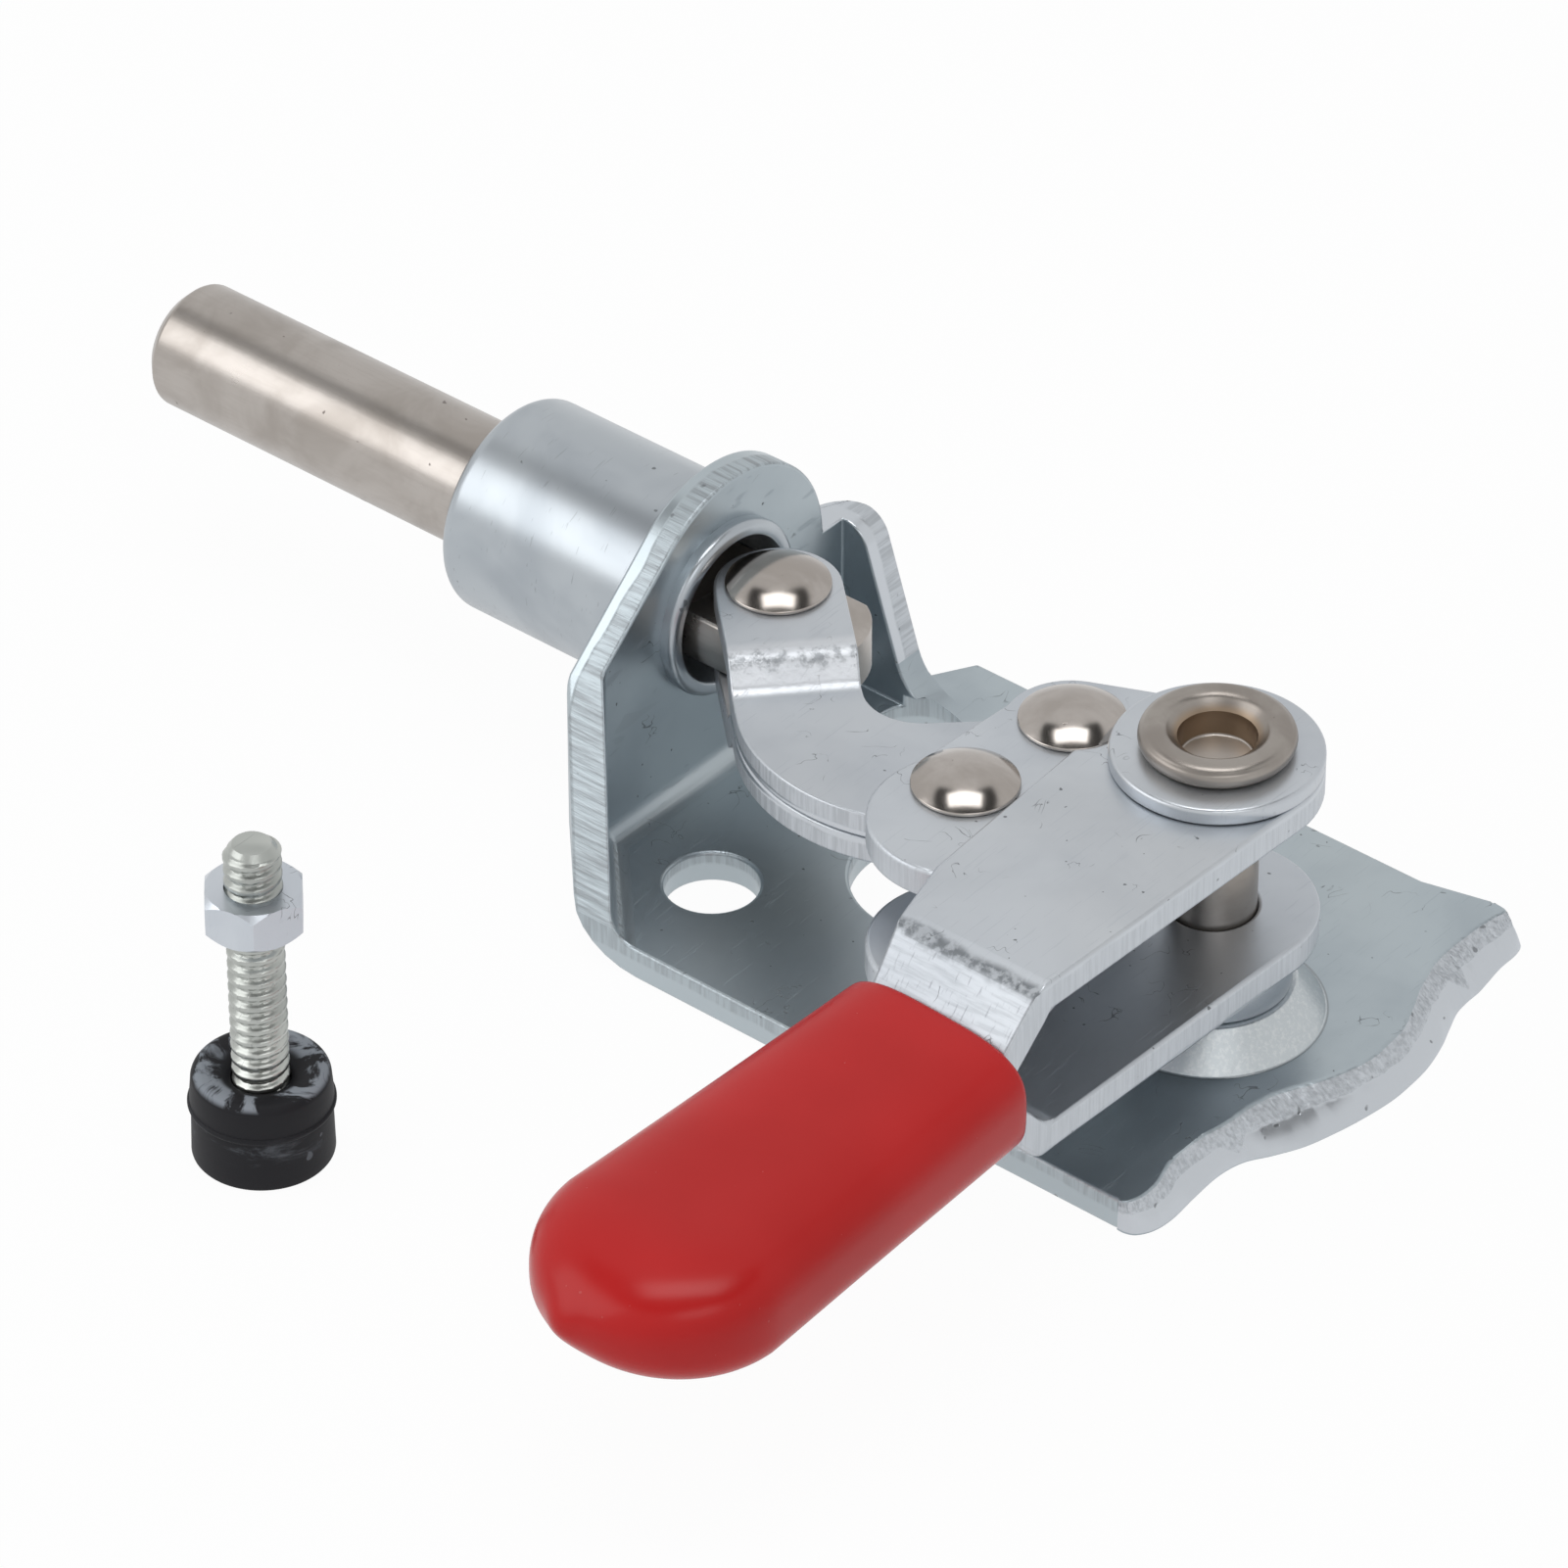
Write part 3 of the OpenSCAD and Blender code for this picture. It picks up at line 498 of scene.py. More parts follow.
# Where the base plate's edges are rolled less: the gusset's foot, the gusset and the ring about the boss
baseLook["gentle"] = [((x * mm, -20.0 * mm, 3.2 * mm), 2.2 * mm, 0.0) for x in (-0.5, 1.5, 4.5, 7.5, 10.0)]
baseLook["gentle"] += [((6.0 * mm, -18.4 * mm, 12.0 * mm), 11.0 * mm, 0.2 * mm),
                       ((-44.3 * mm, 0.0, 3.2 * mm), 10.8 * mm, 0.12 * mm)]


def sortBase(normal, centre):
    across, side, up = np.abs(normal).T
    x, y, z = centre.T
    floorEdge = (z < baseLook["floorTop"]) & (up < 0.5)
    wallX, wallZ = baseLook["wallFrom"]
    wallEdge = (z > wallZ) & (x > wallX) & (across < 0.45) & (y > baseLook["gussetIn"])
    gussetEdge = (z > baseLook["gussetFrom"]) & (y < baseLook["gussetIn"]) & (x < baseLook["gussetOut"])
    gussetEdge = gussetEdge & (side < 0.4)
    return np.where(floorEdge, 1, np.where(wallEdge, 2, np.where(gussetEdge, 3, 0)))


# The torn rear edge, in millimetres: its line at the top face and, point for point, at the bottom face
rearTop = [(-54.52, -27.45), (-55.6, -27.45), (-56.2, -27.2), (-56.05, -26.2), (-55.75, -24.0),
           (-55.65, -21.0), (-55.7, -19.2), (-55.9, -17.4), (-56.4, -15.6), (-57.2, -13.2), (-58.1, -11.2),
           (-59.2, -8.4), (-59.6, -5.3), (-59.6, -2.8), (-58.8, 0.6), (-57.6, 3.4), (-56.2, 6.4),
           (-55.65, 9.4), (-55.5, 12.0), (-54.95, 15.2), (-55.0, 18.6), (-55.9, 21.9), (-56.0, 24.1),
           (-55.6, 25.35), (-55.1, 25.85), (-54.52, 25.9)]
rearLow = [(-54.52, -27.6), (-56.6, -27.75), (-57.9, -27.3), (-58.4, -26.0), (-58.5, -23.6),
           (-58.9, -21.0), (-59.1, -19.6), (-59.15, -17.8), (-59.4, -16.0), (-60.3, -13.6), (-61.2, -11.3),
           (-62.0, -8.2), (-62.3, -5.0), (-62.3, -2.4), (-61.9, 0.8), (-61.3, 3.8), (-60.4, 7.0),
           (-59.0, 9.8), (-57.6, 12.2), (-57.1, 15.0), (-57.3, 18.6), (-57.6, 21.8), (-57.4, 24.0),
           (-56.6, 25.5), (-55.6, 26.0), (-54.52, 26.0)]
# The ridge parts the gritty shoulder from the smooth band: its share of the way from top line to bottom
# line, its height, and what grit and notches (place and half width, in millimetres) take from them
tornLook = {"rows": 560, "grit": 0.09 * mm, "fineGrit": 0.05 * mm, "ridgeShare": 0.40, "ridgeZ": 2.1 * mm,
            "wanderShare": 0.05, "wanderZ": 0.10 * mm, "notches": ((12.3, 1.3), (-18.6, 1.1)),
            "notchShare": 0.38, "notchDrop": 1.05 * mm, "crest": 0.03 * mm, "under": 0.12 * mm,
            "ledge": 0.035, "shoulderZ": 3.08 * mm, "footZ": 0.22 * mm, "belly": 0.16 * mm}


# Smooth curve through the points: each stretch is the cubic that leaves and meets them evenly
def curveThrough(points, rows):
    points = np.asarray(points, float)
    t = np.linspace(0, len(points) - 1, rows)
    i = np.clip(t.astype(int), 0, len(points) - 2)
    f = (t - i)[:, None]
    more = np.concatenate([2 * points[:1] - points[1:2], points, 2 * points[-1:] - points[-2:-1]])
    a, b, c, d = (more[i + k] for k in range(4))
    return 0.5 * (2 * b + (c - a) * f + (2 * a - 5 * b + 4 * c - d) * f ** 2
                  + (3 * b - 3 * c + d - a) * f ** 3)


# Torn rear edge: rows run along it; columns go round the sheet from the cut, over the top, down a gritty
# shoulder to the ridge, down the smooth band and back underneath. A share of 0 is the top line, 1 the bottom.
def rearEdge():
    look = tornLook
    chance = np.random.default_rng(11)
    top, low = curveThrough(rearTop, look["rows"]) * mm, curveThrough(rearLow, look["rows"]) * mm
    run = np.linspace(0, 1, look["rows"])
    fade = np.clip(np.minimum(run, 1 - run) / 0.03, 0, 1)

    def gritty(count):
        return np.interp(run, np.linspace(0, 1, count), chance.uniform(-1, 1, count)) * fade

    def level(value):
        return np.full(len(run), value)

    y = low[:, 1] / mm
    notch = sum(np.clip(1 - np.abs(y - at) / half, 0, 1) ** 0.8 for at, half in look["notches"]) * fade
    ridgeShare = look["ridgeShare"] + look["wanderShare"] * gritty(60) + look["notchShare"] * notch
    ridgeZ = look["ridgeZ"] + look["wanderZ"] * gritty(60) - look["notchDrop"] * notch
    share, z = [level(-0.16), level(-0.06)], [level(3.2 * mm), level(3.17 * mm)]
    for v in (0.0, 0.12, 0.25, 0.38, 0.52, 0.66, 0.8, 0.92):
        share.append(ridgeShare * v)
        z.append(look["shoulderZ"] + (ridgeZ - look["shoulderZ"]) * v ** 1.15)
    share += [ridgeShare, ridgeShare + look["ledge"]]
    z += [ridgeZ + look["crest"], ridgeZ - look["under"]]
    for v in (0.12, 0.35, 0.6, 0.82, 0.93):
        share.append(ridgeShare + look["ledge"] + (1 - look["ledge"] - ridgeShare) * v)
        bulge = look["belly"] * math.sin(math.pi * v)
        z.append((ridgeZ - look["under"]) * (1 - v) + look["footZ"] * v + bulge)
    share += [level(v) for v in (1.0, 0.985, 0.94, 0.86)]
    z += [level(v * mm) for v in (0.2, 0.08, 0.015, 0.0)]
    share, z = np.stack(share, 1), np.stack(z, 1)
    grit = gritty(330)[:, None] * 0.7 + gritty(110)[:, None] * 0.8
    fine = look["fineGrit"] * chance.uniform(-1, 1, share.shape) * fade[:, None]
    shoulder = np.zeros(share.shape[1])
    shoulder[2:11] = (0.35, 0.8, 1, 1, 1, 1, 0.9, 0.6, 0.4)
    push = (look["grit"] * grit + fine) * shoulder
    span = (low - top)[:, None, :]
    outward = span / np.maximum(np.linalg.norm(span, axis=-1, keepdims=True), 0.3 * mm)
    plan = top[:, None, :] + span * share[..., None] + outward * push[..., None]
    plan[..., 0] = np.minimum(plan[..., 0], baseLook["cut"])
    z = z + push * 0.5
    inner = np.stack([level(baseLook["cut"]), top[:, 1]], -1)[:, None, :]
    plan = np.concatenate([inner, plan, inner], 1)
    z = np.concatenate([level(place["baseT"])[:, None], z, level(0.0)[:, None]], 1)
    points = np.concatenate([plan, z[..., None]], -1)
    columns = points.shape[1]
    kinds = np.zeros(columns, int)           # materials: 4 on the torn shoulder, 5 on the smooth band
    kinds[3:12], kinds[12:18] = 4, 5
    faces = ringFaces(len(run), columns)[:, ::-1].tolist()
    ends = [list(range(columns)), list(range((len(run) - 1) * columns, len(run) * columns))[::-1]]
    return points, faces + ends, np.concatenate([np.tile(kinds, len(run) - 1), [0, 0]])


# The boss about the pivot is pressed and sandy, painted brighter partly as painted reflection, inside a fine
# groove painted dark as painted shade
bossLook = {"top": 6.9 * mm, "foot": 10.25 * mm, "groove": 0.16 * mm, "bright": (0.72, 0.75, 0.76, 1)}


def bossSkin(tree, colour, rough, height):
    reach = tree.fromAxis(place["pivotX"], 0)
    pressed = tree.band(reach, bossLook["top"], bossLook["foot"], 0.25 * mm)
    groove = tree.band(reach, bossLook["foot"], bossLook["foot"] + bossLook["groove"], 0.07 * mm)
    sand = tree.noise(tree.where((0.3, 0.8, 0.2)), 2600.0, 3.0, 0.65)
    # The pressed ring keeps its real sandy finish and is painted brighter, partly as painted reflection
    colour = tree.mix(pressed * (tree.ramp(sand, 0.45, 0.65) * 0.3 + 0.5), colour, bossLook["bright"])
    # The groove is painted dark, as painted shade in it
    colour = tree.mix(groove * 0.55, colour, zincLook["mark"])
    return colour, rough - pressed * 0.06, height + pressed * sand * 0.4 - groove * 1.2


baseZinc = toned(0.83, (0.94, 1.0, 1.0))
baseSkins = [zincSheet("zincSheet", baseZinc, bossSkin),
             shearedEdge("shearedFloorEdge", "z", 0.0, place["baseT"], 0.45, 0.55, baseZinc),
             shearedEdge("shearedWallEdge", "x", wallOut, wallIn, 0.8, look=baseZinc),
             shearedEdge("shearedGussetEdge", "y", -16.8 * mm, -20.0 * mm, 0.4),
             shearedEdge("tornEdge", "x", -90 * mm, -70 * mm, 0.4),
             shearedEdge("smoothBand", "z", 0.0, 30 * mm, 0.2)]
sheetCopy("base_plate", "basePlateSheet", baseSkins, baseLook["roll"], sortBase,
          fold=baseLook["fold"], cut=baseLook["cut"], joined=rearEdge(), gentle=baseLook["gentle"],
          merge=baseLook["merge"])
print("base plate done")


# Handle plates: the bend's outer skin is stretched and brushed, with a rough dark band before it; beyond the
# bend the incline is painted darker, as painted shade
handleLook = {"roll": 0.38 * mm, "fold": 1.5 * mm, "merge": 0.17 * mm, "bendY": 32.7 * mm,
              "zincDark": (0.17, 0.185, 0.20, 1), "webEnd": (-39.9 * mm, -8.2 * mm), "webReach": 1.9 * mm,
              "webCut": (-38.4 * mm, 0, 0)}
# Of each plate: its inner face, its outer face and the height of the web's end, where the roll stops
handleFaces = {"upper": (26.7 * mm, 29.7 * mm, 28.9 * mm), "lower": (14.5 * mm, 11.5 * mm, 12.3 * mm)}


def bentSkin(tree, colour, rough, height):
    y = tree.part(tree.where(), "y")
    wander = tree.noise(tree.where(), 260.0, 3.0) * (1.6 * mm) - 0.8 * mm
    bend = handleLook["bendY"]
    dim = tree.band(y + wander, bend + 1.0 * mm, bend + 2.2 * mm, 0.4 * mm)
    mottle = tree.noise(tree.where((0.5, 0.5, 0)), 1100.0, 3.0, 0.6)
    slopeShadeAndBrush = tree.ramp(y, bend + 1.6 * mm, bend + 2.6 * mm)
    brushed = tree.noise(tree.where(grow=(260.0, 2400.0, 2400.0)), 1.0, 3.0, 0.6)
    colour = tree.mix(dim * (tree.ramp(mottle, 0.38, 0.6) * 0.6 + 0.25), colour, handleLook["zincDark"])
    # Beyond the bend the incline is painted darker, as painted shade, with real brushed streaks in it
    colour = tree.mix(slopeShadeAndBrush * (tree.ramp(brushed, 0.4, 0.7) * 0.2 + 0.24), colour, handleLook["zincDark"])
    return colour, rough + dim * 0.08 + slopeShadeAndBrush * 0.05, height + dim * mottle * 0.8 + slopeShadeAndBrush * brushed * 0.6


def sortFlat(normal, centre):
    return np.where(np.abs(normal[:, 2]) < 0.3, 1, 0)


handleZinc = zincSheet("zincHandle", toned(0.97), bentSkin)
for side, (inner, outer, web) in handleFaces.items():
    edge = shearedEdge("sheared" + side.capitalize() + "Handle", "z", outer, inner, 0.2, 0.1)
    sheetCopy("handle_" + side + "_plate", side + "HandlePlate", [handleZinc, edge],
              handleLook["roll"], sortFlat, fold=handleLook["fold"], merge=handleLook["merge"],
              gentle=[((*handleLook["webEnd"], web), handleLook["webReach"], 0.0)],
              stays=[(handleLook["webCut"], (1, 0, 0))])


# Link plates: the joggle of each fork arm is stretched bright, with fine dimples
linkLook = {"roll": 0.22 * mm, "fold": 1.0 * mm, "merge": 0.13 * mm, "joggle": (8.4 * mm, 12.6 * mm),
            "middle": (9.6 * mm, 10.9 * mm), "bright": (0.76, 0.78, 0.81, 1)}
linkFaces = {"upper": (20.64 * mm, 23.14 * mm), "lower": (20.56 * mm, 18.06 * mm)}     # inner and outer


def joggleSkin(tree, colour, rough, height):
    heading = (math.cos(place["armAngle"]), math.sin(place["armAngle"]), 0)
    offset = tree.vectors("SUBTRACT", tree.where(), (*place["tip"], 0))
    along = tree.vectors("DOT_PRODUCT", offset, heading, 1)
    fold = tree.band(along, *linkLook["joggle"], 0.5 * mm)
    dimple = tree.noise(tree.where(), 1500.0, 2.0, 0.6)
    worn = tree.ramp(tree.noise(tree.where((0.6, 0.3, 0.8)), 900.0, 3.0, 0.65), 0.44, 0.62)
    middle = tree.band(along + (dimple - 0.5) * (1.4 * mm), *linkLook["middle"], 0.45 * mm)
    colour = tree.mix(fold * 0.6, colour, linkLook["bright"])
    colour = tree.mix(middle * (worn * 0.55 + 0.12), colour, handleLook["zincDark"])
    return colour, rough + fold * 0.06, height + fold * dimple * 2.2 - middle * worn * 0.6


linkZinc = zincSheet("zincLink", toned(0.93), joggleSkin)
for side, (inner, outer) in linkFaces.items():
    edge = shearedEdge("sheared" + side.capitalize() + "Link", "z", inner, outer, 0.35, 0.2)
    sheetCopy("link_" + side + "_plate", side + "LinkPlate", [linkZinc, edge], linkLook["roll"],
              sortFlat, fold=linkLook["fold"], merge=linkLook["merge"])
print("handle and link plates done")


# Rivets: shank and low domes with a thin flat rim, each profile from the axis outwards and down
rivetLook = {"headR": 4.75 * mm, "headH": 2.0 * mm, "rim": 0.42 * mm, "shankR": 2.975 * mm,
             "forkSeat": 5.04 * mm, "forkShank": 2.5 * mm, "lobeSeat": 8.3 * mm}


def domeProfile(seat):
    look = rivetLook
    cap = look["headH"] - look["rim"]
    ball = (look["headR"] ** 2 + cap ** 2) / (2 * cap)
    tilt = np.linspace(0, math.asin(look["headR"] / ball) * 0.985, 22)
    centre = seat + look["rim"] + cap - ball
    dome = [(ball * math.sin(t), centre + ball * math.cos(t)) for t in tilt]
    edge = look["rim"] * 0.55
    return dome + bow(look["headR"] - edge, seat + edge, edge, 52, -60, 7)


domeNickel = nickel("nickelDome", (900.0, 900.0, 900.0), 0.12, 0.2)
shankR, forkShank = rivetLook["shankR"], rivetLook["forkShank"]
profile = domeProfile(0.0) + [(shankR, 0.0), (shankR, -forkShank), (0.0, -forkShank)]
for side, up in (("upper", 1), ("lower", -1)):
    centre = (*place["tip"], place["axisZ"] + up * rivetLook["forkSeat"])
    piece = turned(side + "PlungerRivet", profile, centre, "z", "link", [domeNickel], up=up)
    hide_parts("plunger_rivet_" + side)
half = rivetLook["lobeSeat"]
top = domeProfile(half)
profile = top + [(shankR, half), (shankR, -half)] + [(r, -h) for r, h in top[::-1]]
for name, node, where in (("linkRivet", "link_rivet", place["crank"]),
                          ("stopRivet", "stop_rivet", place["stop"])):
    piece = turned(name, profile, (*where, place["axisZ"]), "z", "handle", [domeNickel])
    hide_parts(node)


# Pivot: rolled head about a stepped hole, on a washer; the spacer stands on the pressed boss
pivotLook = {"pinR": 3.9 * mm, "rollR": 6.85 * mm, "rollZ": 31.28 * mm, "rollH": 2.2 * mm, "holeR": 3.35 * mm,
             "floorZ": 29.98 * mm, "holeEdge": 0.25 * mm, "foot": 1.8 * mm, "footR": 6.1 * mm,
             "footTop": 3.4 * mm, "bell": ((0.0, 0.3 * mm), (0.12 * mm, 1.1 * mm))}
# Of both rings: each rounding's width, and its steps
washerLook = {"outer": 9.3 * mm, "inner": 3.95 * mm, "low": 29.78 * mm, "high": 31.28 * mm,
              "soft": (0.2 * mm, 4), "softTop": (0.45 * mm, 7)}
spacerLook = {"outer": 7.2 * mm, "inner": 3.95 * mm, "low": 6.6 * mm, "high": 11.42 * mm,
              "soft": (0.3 * mm, 5), "softTop": (0.3 * mm, 5)}


def bronzeBore(tree, colour, rough, height):
    reach = tree.fromAxis(place["pivotX"], 0)
    z = tree.part(tree.where(), "z")
    floorZ = pivotLook["floorZ"]
    inside = (1 - tree.ramp(reach, 3.5 * mm, 4.2 * mm)) * tree.ramp(z, floorZ + 0.07 * mm, floorZ + 0.27 * mm)
    worn = tree.noise(tree.where((0.1, 0.4, 0.2)), 380.0, 4.0, 0.6, 0.8)
    onFloor = 1 - tree.ramp(z, floorZ + 0.04 * mm, floorZ + 0.12 * mm)
    onFloor = onFloor * (1 - tree.ramp(reach, 3.2 * mm, 3.3 * mm))
    colour = tree.mix(inside * 0.9, colour, nickelLook["bronze"])
    colour = tree.mix(onFloor * 0.7, colour, nickelLook["floor"])
    return colour, rough + inside * 0.04 + worn * 0.05, height + worn * 0.8 * (1 - inside)


def pinProfile():        # from the hole's floor up its wall, over the rolled head and down to the foot
    look = pivotLook
    half, soft = look["rollH"] / 2, look["holeEdge"]
    edgeR, edgeZ = look["rollR"] - half, look["rollZ"] + half
    profile = [(0.0, look["floorZ"]), (look["holeR"] - soft, look["floorZ"])]
    profile += bow(look["holeR"] - soft, look["floorZ"] + soft, soft, -90, 0, 4)[1:]
    profile += [(look["holeR"] + out, look["rollZ"] + rise) for out, rise in look["bell"]]
    profile += bow(edgeR - 0.62 * mm, edgeZ + 0.02 * mm, half - 0.02 * mm, 148, 92, 7)
    profile += bow(edgeR - 0.04 * mm, edgeZ, half - 0.03 * mm, 93, 40, 7)
    profile += bow(edgeR, edgeZ, half, 34, -90, 12)
    return profile + [(look["pinR"], look["rollZ"]), (look["pinR"], look["footTop"]),
                      (look["footR"], look["footTop"]), (look["footR"], look["foot"]), (0.0, look["foot"])]


def ringProfile(look):   # a flat ring with a plain bore and its outer edges rounded
    (soft, steps), (softTop, stepsTop) = look["soft"], look["softTop"]
    profile = [(look["inner"], look["low"]), (look["inner"], look["high"])]
    profile += bow(look["outer"] - softTop, look["high"] - softTop, softTop, 90, 0, stepsTop)
    profile += bow(look["outer"] - soft, look["low"] + soft, soft, 0, -90, steps)
    return profile + [(look["inner"], look["low"])]


rolledLook = dict(nickelLook, light=(0.39, 0.36, 0.33, 1), dull=(0.31, 0.28, 0.255, 1))
rolledNickel = nickel("nickelRolled", (700.0, 700.0, 3800.0), 0.26, 0.6, rolledLook, bronzeBore)
washerZinc = zincSheet("zincWasher", toned(0.95, rough=0.27))
pivot = (place["pivotX"], 0.0, 0.0)
pin = turned("pivotPinRolled", pinProfile(), pivot, "z", "root", [rolledNickel], 128)
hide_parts("pivot_pin")
washer = turned("pivotWasher", ringProfile(washerLook), pivot, "z", "root", [washerZinc], 128)
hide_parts("pivot_washer")
spacer = turned("pivotSpacer", ringProfile(spacerLook), pivot, "z", "root", [washerZinc], 96)
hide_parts("pivot_spacer")
print("rivets and pivot done")


# Plunger: the node's own shape with its edges eased
plungerLook = {"roll": 0.2 * mm}
groundNickel = nickel("nickelGround", (260.0, 2600.0, 2600.0), 0.24, 0.45)
sheetCopy("plunger", "plungerBar", [groundNickel], plungerLook["roll"], segments=2)


# Guide bushing: front edge rounded, neck through the wall, lip swaged over with a flared mouth
bushingLook = {"outer": 10.2 * mm, "front": 1.5 * mm, "bore": 6.05 * mm, "neck": 7.6 * mm, "lip": 8.5 * mm,
               "lipSoft": 0.7 * mm, "mouth": 7.05 * mm, "mouthSoft": 0.25 * mm, "flare": 2.0 * mm}


def bushingProfile():    # from the front round the barrel, the neck and the lip, back through the bore
    look = bushingLook
    low, high = (corner.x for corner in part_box("guide_bushing"))
    front, lipSoft, mouthSoft = look["front"], look["lipSoft"], look["mouthSoft"]
    profile = [(look["bore"], high), (look["outer"] - front, high)]
    profile += bow(look["outer"] - front, high - front, front, 90, 0, 10)[1:]
    profile += [(look["outer"], wallOut), (look["neck"], wallOut), (look["neck"], wallIn)]
    profile += [(look["lip"] - 0.1 * mm, wallIn)]
    profile += bow(look["lip"] - lipSoft, low + lipSoft, lipSoft, 0, -90, 8)
    profile += bow(look["mouth"] + mouthSoft, low + mouthSoft, mouthSoft, -90, -180, 4)
    return profile + [(look["bore"], low + look["flare"]), (look["bore"], high)]


barrelZinc = zincTurned("zincBushing", toned(0.81, (0.98, 1.0, 1.0)))
bushing = turned("guideBushing", bushingProfile(), (0.0, 0.0, place["axisZ"]), "x", "root",
                 [barrelZinc], 128)
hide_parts("guide_bushing")
print("plunger and bushing done")


# Vinyl grip. Each section across y is a superellipse of half width w and half height t. The width grows
# from the mouth to the round end, where both close like a circle, and a small drip stands at the tip.
gripLook = {"mouthY": 38.0 * mm, "discY": 72.5 * mm, "endR": 11.5 * mm, "mouthW": 10.0 * mm,
            "halfT": 5.5 * mm, "square": 3.3, "pocketW": 7.95 * mm, "pocketT": 4.72 * mm,
            "skew": 0.45 * mm, "drip": 0.75 * mm, "dripX": 2.6 * mm, "dripR": 2.1 * mm}


def gripSections():
    look = gripLook
    lip = np.array([(0.0, 0.75), (0.06, 0.42), (0.2, 0.17), (0.42, 0.04), (0.75, 0.0)]) * mm
    straight = np.linspace(look["mouthY"] + 2 * mm, look["discY"], 26)
    turn = look["discY"] + look["endR"] * np.sin(np.linspace(0, math.pi / 2, 40)[1:])
    y = np.concatenate([look["mouthY"] + lip[:, 0], straight, turn])
    inset = np.concatenate([lip[:, 1], np.zeros(len(straight) + len(turn))])
    run = np.clip((y - look["mouthY"]) / (look["discY"] - look["mouthY"]), 0, 1)
    beyond = np.clip((y - look["discY"]) / look["endR"], 0, 1)
    halfW = (look["mouthW"] + (look["endR"] - look["mouthW"]) * run ** 0.9) * np.sqrt(1 - beyond ** 2) - inset
    halfT = look["halfT"] * (1 - beyond ** 2.7) ** 0.48 * (1 - 0.035 * np.sin(np.pi * run)) - inset
    return y, np.maximum(halfW, 0), np.maximum(halfT, 0), beyond


def gripPoints():
    look = gripLook
    y, halfW, halfT, beyond = gripSections()
    angle = np.linspace(0, twoPi, 96, endpoint=False)
    power = 2 / (look["square"] - 1.0 * beyond[:, None])
    c, d = np.cos(angle)[None], np.sin(angle)[None]
    x = halfW[:, None] * np.sign(c) * np.abs(c) ** power
    z = halfT[:, None] * np.sign(d) * np.abs(d) ** power
    along = np.repeat(y[:, None], len(angle), 1)
    near = np.clip(1 - (along - look["mouthY"]) / (9 * mm), 0, 1)
    along = along - look["skew"] * near ** 2 * x / look["mouthW"]
    tip = np.clip((beyond[:, None] - 0.86) / 0.14, 0, 1) ** 1.3
    bump = np.exp(-((x - look["dripX"]) ** 2 + z ** 2) / look["dripR"] ** 2) * tip
    along = along + look["drip"] * bump
    outer = np.stack([place["tailX"] + x, along, place["axisZ"] + z], -1)
    depth = np.array([0.0, 0.3, 1.2, 5.0])[:, None] * mm
    ease = np.array([1.035, 1.0, 0.99, 0.9])[:, None]
    px = look["pocketW"] * ease * np.sign(c) * np.abs(c) ** 0.32
    pz = look["pocketT"] * ease * np.sign(d) * np.abs(d) ** 0.32
    py = look["mouthY"] + 0.02 * mm + depth - look["skew"] * px / look["mouthW"]
    inner = np.stack([place["tailX"] + px, py, place["axisZ"] + pz], -1)
    return np.concatenate([inner[::-1], outer])


vinyl = redVinyl("redVinyl")
points = gripPoints()
grip = meshFrom("vinylGrip", points, cappedFaces(points), "handle", [vinyl])
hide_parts("handle_grip")
print("grip done")


# Spindle stud. Radius as a function of angle and height: core plus a rounded ridge that climbs one pitch
# a turn, fading into the chamfer at the top.
studLook = {"radius": 2.5 * mm, "depth": 0.42 * mm, "pitch": 1.25 * mm, "low": 2.9 * mm, "high": 32.7 * mm,
            "chamfer": 0.7 * mm, "chamferIn": 0.25 * mm, "cup": 0.12 * mm,
            "ripples": ((0.012 * mm, 31, 900), (0.01 * mm, 7, 3.1))}     # height, waves round, per mm up


def studPoints():
    look = studLook
    rows = int((look["high"] - look["low"]) / look["pitch"] * 14)
    z = np.linspace(look["low"], look["high"], rows)[:, None]
    angle = np.linspace(0, twoPi, 72, endpoint=False)[None]
    wave = 0.5 + 0.5 * np.cos(twoPi * (z / look["pitch"] - angle / twoPi))
    ridge = np.clip(wave * 1.35 - 0.12, 0, 1) ** 0.8
    r = look["radius"] - look["depth"] * (1 - ridge)
    chamferZ = look["high"] - look["chamfer"]
    top = look["radius"] - look["chamferIn"] - np.clip(z - chamferZ, 0, None) * 0.8
    r = np.minimum(r, np.where(z > chamferZ, top, look["radius"]))
    r = r + sum(tall * np.sin(waves * angle + rate * z / mm) for tall, waves, rate in look["ripples"])
    x, y = place["spindle"]
    body = np.stack([x + r * np.cos(angle), y + r * np.sin(angle), z + 0 * angle], -1)
    share = np.array([0.93, 0.7, 0.4, 0.0])[:, None]
    capR = share * r[-1:]
    capZ = look["high"] + 0.02 * mm - look["cup"] * (1 - share) + 0 * angle
    cap = np.stack([x + capR * np.cos(angle), y + capR * np.sin(angle), capZ], -1)
    return np.concatenate([body, cap])


threadZinc = zincTurned("zincThread", dict(zincLook, light=(0.58, 0.60, 0.57, 1), dull=(0.40, 0.42, 0.40, 1)))
points = studPoints()
stud = meshFrom("spindleStud", points, cappedFaces(points), "root", [threadZinc])
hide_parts("spindle_stud")

nutLook = {"roll": 0.07 * mm, "merge": 0.16 * mm}
nutZinc = zincSheet("zincNut", toned(1.12, rough=0.24))
sheetCopy("spindle_nut", "spindleNut", [nutZinc], nutLook["roll"], segments=2,
          merge=nutLook["merge"], clamp=True)


